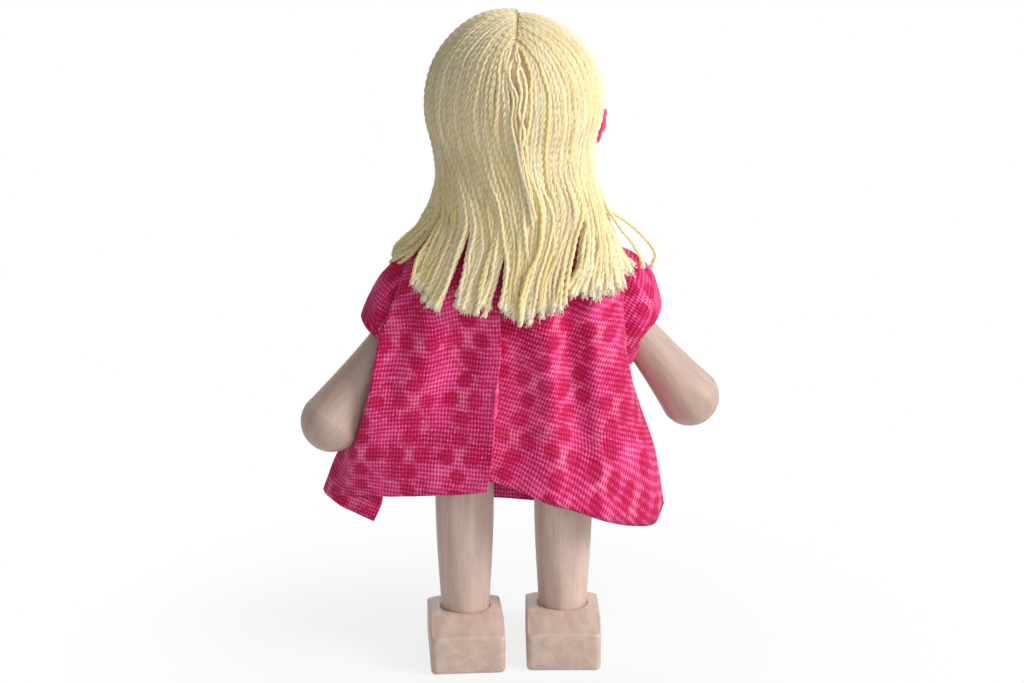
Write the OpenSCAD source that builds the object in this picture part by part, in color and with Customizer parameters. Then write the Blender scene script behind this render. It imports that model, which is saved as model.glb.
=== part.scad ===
// Wooden peg doll with yarn hair, a felt flower and a short-sleeved A-line dress.
// The doll stands on the plane z = 0 and faces -Y; its left side is +X.

/* [Head] */
// Diameter of the wooden ball head
head_d = 25; // [20:0.5:30]
// Length of the bare neck between the torso and the head
neck_l = 7.8; // [6:0.1:14]
// Thickness of the yarn laid over the head
hair_t = 1; // [0.6:0.1:1.6]
// Width of the bare parting at the back of the head
parting_w = 2.9; // [1:0.1:5]
// Depth below the centre of the head at which the bare parting closes
parting_drop = 4.4; // [-2:0.2:7]
// Width of the line of stitches along the parting
seam_w = 1; // [0.6:0.1:2]
// Height of the stitches above the yarn
seam_rise = 0.15; // [0.1:0.05:0.4]

/* [Hanging hair] */
// Thickness of the hanging hair
fall_t = 1.2; // [0.8:0.1:2]
// Depth of the ends of the hair below the torso's top at the middle of the back
fall_back_drop = 13.1; // [5:0.1:18]
// Depth of the ends of the hair below the torso's top on the shoulders
fall_side_drop = 1.4; // [-3:0.1:3]
// Reach of the ends behind the middle of the neck
fall_back_r = 12; // [11:0.2:16]
// Reach of the ends out over the shoulders
fall_side_r = 18.6; // [15:0.2:22]
// Narrowest reach of the hair, below the ears
fall_waist_r = 12.6; // [12:0.2:15]
// Depth of that narrowest place below the centre of the head
fall_waist_drop = 9.4; // [8:0.2:12]

/* [Flower] */
// Diameter of the felt flower
flower_d = 5.4; // [4:0.2:8]
// Thickness of the felt
felt_t = 0.8; // [0.4:0.1:1.5]
// Diameter of the centre of the flower
flower_centre_d = 1.8; // [1:0.1:3]
// Depth of the flower below the centre of the head
flower_drop = 4.1; // [-3:0.1:6]
// Turn of the flower from straight sideways towards the face
flower_turn = 8; // [0:1:40]

/* [Torso] */
// Width of the torso across the shoulders
torso_w = 23; // [20:0.2:23.4]
// Depth of the torso from front to back
torso_d = 14; // [11:0.5:15]
// Height of the top of the torso above the floor
torso_top_z = 66.6; // [65:0.2:67.6]
// Width of the hip tongue between the legs
tongue_w = 5.6; // [4:0.1:6]
// Radius of the upright edges of the torso
torso_edge_r = 5; // [2:0.5:6.5]
// Diameter of the neck
neck_d = 7; // [5:0.2:7.4]
// Diameter of the pegs at both ends of the neck
neck_peg_d = 4; // [3:0.2:4.6]
// Length of each peg of the neck
neck_peg_l = 8; // [5:0.5:10]

/* [Arms] */
// Depth of the shoulder dowel below the torso's top
shoulder_drop = 10.6; // [9:0.2:12]
// Distance of each shoulder pivot from the middle
shoulder_x = 15; // [14.6:0.1:16]
// Length from the pivot to the centre of the hand
arm_l = 20.8; // [16:0.2:24]
// Spread of the arms from straight down
arm_splay = 37; // [30:1:42]
// Swing of the left arm backwards at rest
left_arm_back = 15; // [0:1:20]
// Swing of the right arm forwards at rest
right_arm_forward = 14; // [0:1:30]
// Diameter of the rounded shoulder end
arm_top_d = 5.4; // [5:0.1:5.8]
// Diameter of the arm halfway down
arm_mid_d = 6.6; // [5.6:0.1:7]
// Diameter of the round hand
hand_d = 9.2; // [7:0.1:10]
// Diameter of the shoulder dowel
shoulder_dowel_d = 2; // [1.5:0.1:2.4]

/* [Legs] */
// Height of the hip dowel above the floor
hip_z = 38; // [36:0.5:40]
// Distance of each leg from the middle
leg_x = 7.6; // [7.4:0.1:8]
// Diameter of the leg at the hip
leg_top_d = 8.8; // [8:0.1:9]
// Diameter of the leg at the knee
leg_knee_d = 9; // [8:0.1:9]
// Diameter of the leg at the ankle
leg_ankle_d = 7.5; // [6:0.1:8]
// Height of the fullest place of the leg
knee_z = 27; // [20:0.5:30]
// Diameter of the hip dowel
hip_dowel_d = 3; // [2.5:0.1:3.6]
// Angle past straight forward to which the thighs fold
thigh_fold = 15; // [0:1:20]

/* [Feet] */
// Width of each foot
foot_w = 11.3; // [10:0.1:12]
// Reach of the heel behind the leg
heel_l = 8.4; // [7:0.1:10]
// Reach of the toe in front of the leg
toe_l = 12.6; // [10:0.1:14]
// Height of the back of the heel
heel_h = 6.2; // [5:0.1:7]
// Height of the foot round the ankle
ankle_h = 8.6; // [7.6:0.1:9.4]
// Height of the foot at the toe
toe_h = 5; // [3:0.1:6]
// Depth of the socket that holds the leg
socket_depth = 4; // [2:0.5:5]
// Turn of the right foot outwards
right_foot_turn = 4; // [0:1:8]

/* [Dress] */
// Thickness of the cloth with its nap
cloth_t = 0.5; // [0.4:0.05:0.7]
// Height of the neckline above the torso's top
neckline_rise = 1.6; // [1.2:0.1:3]
// Outer half width of the dress at the shoulder seam
dress_shoulder_x = 13.4; // [13:0.1:14]
// Depth of the outer end of the shoulder seam below the torso's top
dress_shoulder_drop = 1.3; // [0.6:0.1:1.6]
// Outer half width of the dress under the arms
armpit_x = 17.2; // [16.8:0.1:18]
// Depth of the dress's armpits below the shoulder dowel
armpit_drop = 10.4; // [10:0.1:11]
// Half depth of the armhole
armhole_y = 6.4; // [5.6:0.1:7]
// Half depth of the dress at the chest
chest_y = 9.5; // [9:0.1:10]
// Reach of the left corner of the hem
hem_left_x = 28.5; // [23:0.1:30]
// Reach of the right corner of the hem
hem_right_x = 23.2; // [20:0.1:26]
// Reach of the hem behind the middle
hem_back_y = 10.6; // [10:0.1:13]
// Reach of the hem in front of the middle
hem_front_y = 12; // [11:0.1:13]
// Depth of the hem below the torso's top at the middle of the back
hem_back_drop = 36.8; // [34:0.1:42]
// Depth of the hem below the torso's top at the middle of the front
hem_front_drop = 45.2; // [41:0.1:48]
// Depth of the left corner of the hem below the torso's top
hem_left_drop = 40.4; // [39:0.1:46]
// Depth of the right corner of the hem below the torso's top
hem_right_drop = 45.4; // [39:0.1:47]
// Height of the folds at the hem
fold_h = 1.5; // [0.5:0.1:2]
// Share of that height the folds have at the armpit
fold_start = 0.7; // [0.4:0.05:0.8]
// Reach of the back's fold behind the left arm past the armpit
side_fold_x = 4.6; // [3:0.1:5]
// Depth of that fold
side_fold_y = 2.2; // [1.6:0.1:2.6]
// Reach of the sleeves at their top edge
sleeve_x = 22.8; // [22:0.1:24]
// Depth of the top edge of the sleeves below the shoulder dowel
sleeve_drop = 1.2; // [0:0.1:2]
// Half depth of the sleeves at their edge
sleeve_y = 4.8; // [4.6:0.1:6]

/* [Hidden] */

// Radial clearance of a turning fit
run_gap = 0.05;
// Radial clearance of a glued fit
glue_gap = 0.02;
// Clearance between soft layers
soft_gap = 0.15;
// Clearance between a leg and the hip tongue, and above the leg
hip_gap = 0.4;
// Overrun of all cuts
over = 1;

// Head and hair
head_r = head_d / 2;
hair_r = head_r + soft_gap + hair_t;
// Middle of the bare parting, a little to the doll's right
parting_x = -0.55;
// Gap between the two halves of the hair along the closed parting
parting_gap = 0.3;
// Plane in front of which the head is bare, measured at the crown
face_y = -5.5;
// Height of the flat seat of the head, and of its centre
seat_z = torso_top_z + neck_l;
head_z = seat_z + sqrt(head_r * head_r - neck_d * neck_d / 4);
parting_z = head_z - parting_drop;
fall_waist_z = head_z - fall_waist_drop;
fall_back_z = torso_top_z - fall_back_drop;
fall_side_z = torso_top_z - fall_side_drop;

// Yarn laid over one side of the head, side = 1 left, -1 right
module crown(side) {
    edge_x = side > 0 ? parting_x + parting_gap / 2 : -(parting_x - parting_gap / 2);
    bare_x = side > 0 ? parting_x + parting_w / 2 : -(parting_x - parting_w / 2);
    difference() {
        translate([0, 0, head_z])
            sphere(r = hair_r, $fn = 96);
        translate([0, 0, head_z])
            sphere(r = head_r + soft_gap, $fn = 96);
        // the other half
        mirror([side > 0 ? 0 : 1, 0, 0])
            translate([edge_x - 2 * hair_r, -hair_r - over, head_z - hair_r - over])
                cube([2 * hair_r, 2 * (hair_r + over), 2 * (hair_r + over)]);
        // the bare parting at the back
        mirror([side > 0 ? 0 : 1, 0, 0])
            translate([bare_x - 2 * hair_r, 0, head_z - hair_r - over])
                cube([2 * hair_r, hair_r + over, hair_r + over + head_r / 2]);
        // everything below the hanging hair's upper edge
        translate([-hair_r - over, -hair_r - over, head_z - hair_r - over])
            cube([2 * (hair_r + over), 2 * (hair_r + over), parting_z + soft_gap - head_z + hair_r + over]);
        // the face
        translate([-hair_r - over, face_y - 2 * hair_r, head_z - hair_r - over])
            cube([2 * (hair_r + over), 2 * hair_r, hair_r + over + head_r / 2]);
    }
}

// Reach and height of the hanging hair at the angle a from straight back and the share t of its length
fall_steps = 12;
fall_rows = 12;
fall_sweep = 122;
function ease(t) = t <= 0 ? 0 : t >= 1 ? 1 : t * t * (3 - 2 * t);
function fall_end_z(a) = fall_back_z + (fall_side_z - fall_back_z) * pow(sin(a), 4);
function fall_end_r(a) = fall_back_r + (fall_side_r - fall_back_r) * pow(sin(a), 2);
function fall_top_r() = sqrt(head_r * head_r - pow(head_z - parting_z, 2)) + 3 * soft_gap + fall_t;
function fall_z(a, t) = parting_z + (fall_end_z(a) - parting_z) * t;
function fall_r(a, t) =
    let(
        z = fall_z(a, t),
        top = ease((parting_z - z) / (parting_z - fall_waist_z)),
        low = ease((fall_waist_z - z) / (fall_waist_z - fall_end_z(a)))
    )
    fall_top_r() + (fall_waist_r - fall_top_r()) * top + (fall_end_r(a) - fall_waist_r) * low;
function fall_point(a, t, inside, side) =
    let(
        r = fall_r(a, t),
        z = fall_z(a, t),
        h = 0.02,
        dr = (fall_r(a, t + h) - fall_r(a, t - h)),
        dz = (fall_z(a, t + h) - fall_z(a, t - h)),
        l = sqrt(dr * dr + dz * dz),
        rr = r + inside * fall_t * dz / l,
        zz = z - inside * fall_t * dr / l,
        gap = parting_x + side * parting_gap / 2
    )
    [side * rr * sin(a) + gap * cos(a / 2), rr * cos(a), zz];

// One half of the hanging hair
module fall(side) {
    sheet([for (inside = [0, 1]) [for (j = [0 : fall_rows]) [for (i = [0 : fall_steps])
        fall_point(fall_sweep * i / fall_steps, j / fall_rows, inside, side)]]], side > 0);
}

// Closed solid between two grids of points; flip turns its faces over
module sheet(grids, flip = false) {
    nj = len(grids[0]);
    ni = len(grids[0][0]);
    points = [for (g = grids) for (row = g) for (p = row) p];
    function at(k, j, i) = (k * nj + j) * ni + i;
    faces = concat(
        [for (j = [0 : nj - 2]) for (i = [0 : ni - 2]) [at(0, j, i), at(0, j, i + 1), at(0, j + 1, i + 1)]],
        [for (j = [0 : nj - 2]) for (i = [0 : ni - 2]) [at(0, j, i), at(0, j + 1, i + 1), at(0, j + 1, i)]],
        [for (j = [0 : nj - 2]) for (i = [0 : ni - 2]) [at(1, j, i), at(1, j + 1, i + 1), at(1, j, i + 1)]],
        [for (j = [0 : nj - 2]) for (i = [0 : ni - 2]) [at(1, j, i), at(1, j + 1, i), at(1, j + 1, i + 1)]],
        [for (i = [0 : ni - 2]) [at(0, 0, i + 1), at(0, 0, i), at(1, 0, i)]],
        [for (i = [0 : ni - 2]) [at(0, 0, i + 1), at(1, 0, i), at(1, 0, i + 1)]],
        [for (i = [0 : ni - 2]) [at(0, nj - 1, i), at(0, nj - 1, i + 1), at(1, nj - 1, i)]],
        [for (i = [0 : ni - 2]) [at(0, nj - 1, i + 1), at(1, nj - 1, i + 1), at(1, nj - 1, i)]],
        [for (j = [0 : nj - 2]) [at(0, j, 0), at(0, j + 1, 0), at(1, j, 0)]],
        [for (j = [0 : nj - 2]) [at(0, j + 1, 0), at(1, j + 1, 0), at(1, j, 0)]],
        [for (j = [0 : nj - 2]) [at(0, j + 1, ni - 1), at(0, j, ni - 1), at(1, j, ni - 1)]],
        [for (j = [0 : nj - 2]) [at(0, j + 1, ni - 1), at(1, j, ni - 1), at(1, j + 1, ni - 1)]]
    );
    polyhedron(points, flip ? [for (f = faces) [f[2], f[1], f[0]]] : faces, convexity = 10);
}

module head() {
    color("burlywood")
    difference() {
        translate([0, 0, head_z])
            sphere(r = head_r, $fn = 96);
        // flat seat on the neck
        translate([0, 0, seat_z - head_r])
            cylinder(h = head_r, d = head_d, $fn = 64);
        // bore on the neck peg
        translate([0, 0, seat_z - over])
            cylinder(h = neck_peg_l + run_gap + over, r = neck_peg_d / 2 + run_gap, $fn = 48);
    }
}

module hair_crown_left() {
    color("khaki") crown(1);
}

module hair_crown_right() {
    color("khaki") crown(-1);
}

module hair_fall_left() {
    color("palegoldenrod") fall(1);
}

module hair_fall_right() {
    color("palegoldenrod") fall(-1);
}

// Angle from straight up at which the bare parting begins at the back
seam_back_a = acos(0.5 * head_r / hair_r);
seam_front_a = asin(-face_y / hair_r);

module hair_seam() {
    color("darkkhaki")
    translate([parting_x, 0, head_z])
        rotate([0, 90, 0])
            rotate([0, 0, 180 - seam_back_a + over / 4])
                rotate_extrude(angle = seam_back_a + seam_front_a - over / 2, $fn = 96)
                    translate([hair_r + soft_gap / 2, -seam_w / 2])
                        square([seam_rise, seam_w]);
}

// Flower
petals = 5;
petal_d = flower_d * 0.46;
flower_z = head_z - flower_drop;
flower_y = -hair_r * sin(flower_turn);
flower_x = -hair_r * cos(flower_turn);

module at_flower() {
    translate([0, 0, flower_z])
        rotate([0, 0, flower_turn])
            rotate([0, -90, 0])
                translate([0, 0, hair_r + soft_gap])
                    children();
}

module flower_petals() {
    color("hotpink")
    at_flower()
        union() {
            for (k = [0 : petals - 1])
                rotate([0, 0, k * 360 / petals])
                    translate([(flower_d - petal_d) / 2, 0, 0])
                        cylinder(h = felt_t, d = petal_d, $fn = 32);
            cylinder(h = felt_t, d = petal_d, $fn = 32);
        }
}

module flower_centre() {
    color("deeppink")
    at_flower()
        translate([0, 0, felt_t])
            intersection() {
                sphere(d = flower_centre_d, $fn = 32);
                translate([-flower_centre_d, -flower_centre_d, 0])
                    cube([2 * flower_centre_d, 2 * flower_centre_d, flower_centre_d * 0.4]);
            }
}

// Torso, neck and dowels
block_z = hip_z + leg_top_d / 2 + hip_gap;
tongue_z = hip_z - leg_top_d * 0.55;
torso_h = torso_top_z - block_z;
shoulder_z = torso_top_z - shoulder_drop;

module torso_outline() {
    w = torso_w / 2;
    polygon([
        [-tongue_w / 2, tongue_z], [tongue_w / 2, tongue_z], [tongue_w / 2, block_z],
        [w * 0.84, block_z], [w * 0.9, block_z + torso_h * 0.05], [w, block_z + torso_h * 0.45],
        [w, torso_top_z - torso_h * 0.24], [w * 0.93, torso_top_z - torso_h * 0.16],
        [w * 0.7, torso_top_z - torso_h * 0.09], [neck_d / 2, torso_top_z],
        [-neck_d / 2, torso_top_z], [-w * 0.7, torso_top_z - torso_h * 0.09],
        [-w * 0.93, torso_top_z - torso_h * 0.16], [-w, torso_top_z - torso_h * 0.24],
        [-w, block_z + torso_h * 0.45], [-w * 0.9, block_z + torso_h * 0.05], [-w * 0.84, block_z],
        [-tongue_w / 2, block_z]
    ]);
}

module torso_side_outline() {
    d = torso_d / 2;
    polygon([
        [-leg_top_d / 2, tongue_z], [leg_top_d / 2, tongue_z], [leg_top_d / 2, block_z],
        [d * 0.9, block_z], [d, block_z + torso_h * 0.1], [d, torso_top_z - torso_h * 0.35],
        [d * 0.86, torso_top_z - torso_h * 0.2], [d * 0.64, torso_top_z - torso_h * 0.08],
        [neck_d / 2, torso_top_z], [-neck_d / 2, torso_top_z],
        [-d * 0.64, torso_top_z - torso_h * 0.08], [-d * 0.86, torso_top_z - torso_h * 0.2],
        [-d, torso_top_z - torso_h * 0.35], [-d, block_z + torso_h * 0.1], [-d * 0.9, block_z],
        [-leg_top_d / 2, block_z]
    ]);
}

module torso_plan() {
    w = torso_w / 2 - torso_edge_r;
    d = torso_d / 2 - torso_edge_r;
    union() {
        for (x = [-w, w])
            for (y = [-d, d])
                translate([x, y])
                    circle(r = torso_edge_r, $fn = 48);
        square([2 * w, torso_d], center = true);
        square([torso_w, 2 * d], center = true);
    }
}

module torso() {
    color("tan")
    difference() {
        intersection() {
            translate([0, torso_d / 2, 0])
                rotate([90, 0, 0])
                    linear_extrude(height = torso_d)
                        torso_outline();
            translate([-torso_w / 2, 0, 0])
                rotate([90, 0, 90])
                    linear_extrude(height = torso_w)
                        torso_side_outline();
            translate([0, 0, tongue_z])
                linear_extrude(height = torso_top_z - tongue_z)
                    torso_plan();
        }
        // bore for the neck peg
        translate([0, 0, torso_top_z - neck_peg_l])
            cylinder(h = neck_peg_l + over, r = neck_peg_d / 2 + glue_gap, $fn = 48);
        // bore for the shoulder dowel
        translate([-torso_w / 2 - over, 0, shoulder_z])
            rotate([0, 90, 0])
                cylinder(h = torso_w + 2 * over, r = shoulder_dowel_d / 2 + glue_gap, $fn = 48);
        // bore in which the hip dowel turns
        translate([-tongue_w / 2 - over, 0, hip_z])
            rotate([0, 90, 0])
                cylinder(h = tongue_w + 2 * over, r = hip_dowel_d / 2 + run_gap, $fn = 48);
        // hollows under the front for the folded thighs
        for (side = [-1, 1])
            translate([side * leg_x, 0, hip_z])
                rotate([90 - thigh_fold, 0, 0])
                    cylinder(h = torso_d, r = leg_top_d / 2 + hip_gap, $fn = 64);
    }
}

module neck_peg() {
    color("wheat")
    union() {
        translate([0, 0, torso_top_z - neck_peg_l])
            cylinder(h = 2 * neck_peg_l + neck_l, d = neck_peg_d, $fn = 48);
        translate([0, 0, torso_top_z])
            cylinder(h = neck_l, d = neck_d, $fn = 48);
    }
}

shoulder_dowel_l = 2 * (shoulder_x + arm_top_d * 0.36);

module shoulder_dowel() {
    color("wheat")
    translate([-shoulder_dowel_l / 2, 0, shoulder_z])
        rotate([0, 90, 0])
            cylinder(h = shoulder_dowel_l, d = shoulder_dowel_d, $fn = 48);
}

hip_dowel_l = 2 * (leg_x + leg_top_d * 0.3);

module hip_dowel() {
    color("wheat")
    translate([-hip_dowel_l / 2, 0, hip_z])
        rotate([0, 90, 0])
            cylinder(h = hip_dowel_l, d = hip_dowel_d, $fn = 48);
}

// Arms
// Turned arm from the pivot straight down, with its bore along X
module arm(side, swing) {
    steps = 12;
    ra = arm_top_d / 2;
    rh = hand_d / 2;
    mid = arm_l / 2;
    translate([side * shoulder_x, 0, shoulder_z])
        rotate([swing, 0, 0])
            difference() {
                rotate([0, -side * arm_splay, 0])
                    rotate_extrude($fn = 64)
                        polygon(concat(
                            [for (k = [0 : steps]) [ra * sin(90 * k / steps), ra * cos(90 * k / steps)]],
                            [for (k = [1 : steps - 1]) [arm_profile(k / steps), -arm_l * k / steps]],
                            [for (k = [0 : steps]) [rh * cos(90 * k / steps), -arm_l - rh * sin(90 * k / steps)]]
                        ));
                translate([-2 * arm_top_d, 0, 0])
                    rotate([0, 90, 0])
                        cylinder(h = 4 * arm_top_d, r = shoulder_dowel_d / 2 + run_gap, $fn = 48);
            }
}

// Radius of the arm at a share of its length, through the shoulder, middle and hand
function arm_profile(t) =
    let(a = arm_top_d / 2, b = arm_mid_d / 2, c = hand_d / 2)
    a * (1 - t) * (1 - 2 * t) + 4 * b * t * (1 - t) + c * t * (2 * t - 1);

module left_arm() {
    color("burlywood") arm(1, left_arm_back);
}

module right_arm() {
    color("burlywood") arm(-1, -right_arm_forward);
}

// Legs and feet
leg_bottom_z = ankle_h - socket_depth;

module leg(side) {
    steps = 12;
    rt = leg_top_d / 2;
    translate([side * leg_x, 0, 0])
        difference() {
            rotate_extrude($fn = 64)
                polygon(concat(
                    [[0, leg_bottom_z], [leg_ankle_d / 2, leg_bottom_z], [leg_ankle_d / 2, ankle_h]],
                    [for (k = [1 : steps]) [
                        leg_ankle_d / 2 + (leg_knee_d - leg_ankle_d) / 2 * sin(90 * k / steps),
                        ankle_h + (knee_z - ankle_h) * k / steps
                    ]],
                    [for (k = [1 : steps / 2]) [
                        leg_knee_d / 2 + (rt - leg_knee_d / 2) * ease(2 * k / steps),
                        knee_z + (hip_z - knee_z) * 2 * k / steps
                    ]],
                    [for (k = [1 : steps]) [rt * cos(90 * k / steps), hip_z + rt * sin(90 * k / steps)]]
                ));
            // bore on the hip dowel
            translate([-leg_top_d, 0, hip_z])
                rotate([0, 90, 0])
                    cylinder(h = 2 * leg_top_d, r = hip_dowel_d / 2 + run_gap, $fn = 48);
        }
}

module left_leg() {
    color("navajowhite") leg(1);
}

module right_leg() {
    color("navajowhite") leg(-1);
}

toe_r = foot_w * 0.45;
heel_r = foot_w * 0.2;

// Outline of the sole, heel at +Y
module sole() {
    union() {
        for (s = [-1, 1])
            translate([s * (foot_w / 2 - heel_r), heel_l - heel_r])
                circle(r = heel_r, $fn = 48);
        translate([-foot_w / 2 + heel_r, 0])
            square([foot_w - 2 * heel_r, heel_l]);
        translate([-foot_w / 2, -toe_l + toe_r])
            square([foot_w, heel_l - heel_r + toe_l - toe_r]);
        for (s = [-1, 1])
            translate([s * (foot_w / 2 - toe_r), -toe_l + toe_r])
                circle(r = toe_r, $fn = 48);
        translate([-foot_w / 2 + toe_r, -toe_l])
            square([foot_w - 2 * toe_r, toe_l]);
    }
}

// Side outline of the foot, heel at +Y
module foot_side() {
    ring = leg_ankle_d / 2;
    polygon([
        [-toe_l, 0], [heel_l, 0], [heel_l, heel_h * 0.95], [heel_l - heel_h * 0.1, heel_h],
        [ring * 1.5, ankle_h - (ankle_h - heel_h) * 0.45], [ring * 1.1, ankle_h], [-ring * 1.1, ankle_h],
        [-ring * 1.7, ankle_h - (ankle_h - toe_h) * 0.3], [-toe_l * 0.85, toe_h],
        [-toe_l * 0.96, toe_h * 0.8], [-toe_l, toe_h * 0.5]
    ]);
}

module foot(side, turn) {
    translate([side * leg_x, 0, 0])
        rotate([0, 0, turn])
            difference() {
                intersection() {
                    linear_extrude(height = ankle_h)
                        sole();
                    translate([-foot_w / 2, 0, 0])
                        rotate([90, 0, 90])
                            linear_extrude(height = foot_w)
                                foot_side();
                }
                translate([0, 0, leg_bottom_z])
                    cylinder(h = socket_depth + over, r = leg_ankle_d / 2 + soft_gap, $fn = 64);
            }
}

module left_foot() {
    color("burlywood") foot(1, 0);
}

module right_foot() {
    color("burlywood") foot(-1, -right_foot_turn);
}

// Dress
// The rows of a panel run from the neckline to the hem, and its columns from the right edge to the left
yoke_rows = 3;
arm_rows = 7;
skirt_rows = 9;
neckline_r = neck_d / 2 + 2 * soft_gap + cloth_t;
neckline_z = torso_top_z + neckline_rise;
dress_shoulder_z = torso_top_z - dress_shoulder_drop;
armpit_z = shoulder_z - armpit_drop;
sleeve_z = shoulder_z - sleeve_drop;
hem_back_z = torso_top_z - hem_back_drop;
hem_front_z = torso_top_z - hem_front_drop;
hem_left_z = torso_top_z - hem_left_drop;
hem_right_z = torso_top_z - hem_right_drop;

function mix(a, b, t) = a + (b - a) * t;

// Bell-shaped bump of width w at distance d from its middle
function bump(d, w) = exp(-d * d / (w * w));

// Folds of the back: [place as a share of the half width, width as a share, height as a share]
back_fold_shares = [
    [0.10, 0.06, 1], [-0.04, 0.07, -1.1], [-0.22, 0.1, 0.75], [-0.44, 0.08, -0.8],
    [-0.66, 0.13, 0.45], [0.32, 0.14, -0.35], [0.55, 0.14, 0.35], [0.78, 0.08, 0.5]
];
front_fold_shares = [[-0.5, 0.14, 0.8], [-0.2, 0.12, -0.6], [0.1, 0.12, 0.6], [0.36, 0.1, -0.7], [0.62, 0.12, 0.7]];

function folds(shares, u) = let(s = sin(90 * u)) [for (f = shares) f[2] * bump(s - f[0], f[1])] * [for (f = shares) 1];

// Outer point of a panel; face = 1 for the back and -1 for the front, u = -1 to 1, j = row
function panel_point(face, u, j) =
    let(
        c = max(0, cos(90 * u)),
        s = sin(90 * u),
        left = s > 0,
        crest = face > 0 && left ? bump(u - 0.8, 0.1) : 0,
        y_hem = face > 0 ? hem_back_y : hem_front_y,
        x_hem = left ? hem_left_x : hem_right_x,
        z_side = left ? hem_left_z : hem_right_z,
        z_mid = face > 0 ? hem_back_z : hem_front_z,
        droop = face < 0 ? 2 : left ? 1 : 6,
        // powers that set how square the panel's section is at the yoke, armpit and hem
        yoke_k = 0.6,
        side_k = 0.35,
        hem_k = face < 0 ? 0.7 : left ? 1.1 : 1.8,
        shares = face > 0 ? back_fold_shares : front_fold_shares
    )
    j <= yoke_rows ? let(
        t = j / yoke_rows,
        x = mix(neckline_r, dress_shoulder_x, t),
        z_edge = mix(neckline_z, dress_shoulder_z, t),
        y = mix(neckline_r, chest_y - 2 * cloth_t, pow(t, 0.7)),
        z = mix(neckline_z - cloth_t, dress_shoulder_z - 4 * cloth_t, t)
    ) [x * s, face * y * pow(c, yoke_k), mix(z_edge, z, c)]
    : j <= yoke_rows + arm_rows ? let(
        t = (j - yoke_rows) / arm_rows,
        a = 180 * t,
        x = mix(dress_shoulder_x, armpit_x, t),
        z_edge = mix(dress_shoulder_z, armpit_z, (1 - cos(a)) / 2),
        z_top = dress_shoulder_z - 4 * cloth_t,
        y_edge = armhole_y * sin(a),
        y = mix(chest_y - 2 * cloth_t, chest_y, ease(t)),
        f = fold_h * folds(shares, u) * fold_start * ease(t) * c,
        w = ease((t - 0.35) / 0.35) * crest
    ) [
        x * s + side_fold_x * w,
        face * (mix(y_edge, y, pow(c, mix(yoke_k, side_k, ease(t)))) + f + side_fold_y * w * t * t),
        mix(z_edge, mix(z_top, armpit_z, (1 - cos(a)) / 2), c)
    ]
    : let(
        t = (j - yoke_rows - arm_rows) / skirt_rows,
        x = mix(armpit_x, x_hem, pow(t, 0.85)),
        z = mix(armpit_z, mix(z_side, z_mid, pow(c, droop)), t),
        y = mix(chest_y, y_hem, t),
        k = mix(side_k, hem_k, face > 0 && left ? ease(2 * t - 1) : t),
        f = fold_h * folds(shares, u) * mix(fold_start, 1, t) * min(1, 2 * c),
        w = (1 - ease(t / 0.6)) * crest
    ) [x * s + side_fold_x * w, face * (y * pow(c, k) + f + side_fold_y * w), z];

panel_rows = yoke_rows + arm_rows + skirt_rows;

function unit(v) = v / norm(v);

// Columns stand closer together near the middle, where the folds are narrow
column_shares = [
    -1, -0.93, -0.86, -0.78, -0.7, -0.62, -0.54, -0.46, -0.38, -0.3, -0.24, -0.18, -0.12, -0.07, -0.03,
    0.01, 0.05, 0.09, 0.13, 0.18, 0.24, 0.32, 0.4, 0.48, 0.56, 0.64, 0.71, 0.78, 0.85, 0.92, 1
];
panel_cols = len(column_shares) - 1;

function column(i) = column_shares[i];

function panel_normal(face, i, j) =
    let(
        ia = max(0, i - 1), ib = min(panel_cols, i + 1),
        ja = max(0, j - 1), jb = min(panel_rows, j + 1),
        du = panel_point(face, column(ib), j) - panel_point(face, column(ia), j),
        dv = panel_point(face, column(i), jb) - panel_point(face, column(i), ja),
        n = cross(du, dv)
    ) face * unit(n);

// Panels end short of each other at the side and shoulder seams
seam_gap = 0.1;

function seamed(face, p) = [p[0], face * max(seam_gap, face * p[1]), p[2]];

module panel(face) {
    grids = [for (inside = [0, 1]) [for (j = [0 : panel_rows]) [for (i = [0 : panel_cols])
        let(
            p = panel_point(face, column(i), j),
            n = panel_normal(face, i, j),
            edge = i == 0 || i == panel_cols,
            m = edge ? unit([sign(column(i)), 0, j <= yoke_rows ? 2 : 0]) : n
        )
        seamed(face, inside == 0 ? p : p - cloth_t * m)]]];
    sheet(grids, face > 0);
}

module dress_front() {
    color("palevioletred") panel(-1);
}

module dress_back() {
    color("palevioletred") panel(1);
}

// Sleeve from the armhole to its edge round the arm
sleeve_steps = 20;
sleeve_rows = 5;
sleeve_low_x = armpit_x + 2 * seam_gap + cloth_t;

function sleeve_point(side, swing, a, t, inside) =
    let(
        // loop round the armhole, a = 0 at its top
        k = inside * cloth_t,
        h0 = (dress_shoulder_z - armpit_z) / 2 - k,
        x0 = mix(armpit_x, dress_shoulder_x, (1 + cos(a)) / 2) + 2 * seam_gap + cloth_t / 2,
        y0 = (armhole_y + cloth_t - k) * sin(a),
        z0 = (dress_shoulder_z + armpit_z) / 2 + h0 * cos(a),
        // loop at the edge of the sleeve
        hx = (sleeve_x - sleeve_low_x) / 2,
        hz = (sleeve_z - armpit_z) / 2,
        hl = norm([hx, hz]),
        x1 = (sleeve_x + sleeve_low_x) / 2 + hx * (1 - k / hl) * cos(a),
        y1 = (sleeve_y - k) * sin(a),
        z1 = (sleeve_z + armpit_z) / 2 + hz * (1 - k / hl) * cos(a),
        dy = y1 * cos(swing) - (z1 - shoulder_z) * sin(swing),
        dz = y1 * sin(swing) + (z1 - shoulder_z) * cos(swing) + shoulder_z,
        full = sin(180 * t) * 0.5 * (1 + cos(a)) * 2 * cloth_t
    )
    [
        side * (mix(x0, x1, t) + full),
        mix(y0, dy, ease(t)),
        mix(z0, dz, pow(t, 1.3)) + full
    ];

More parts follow.
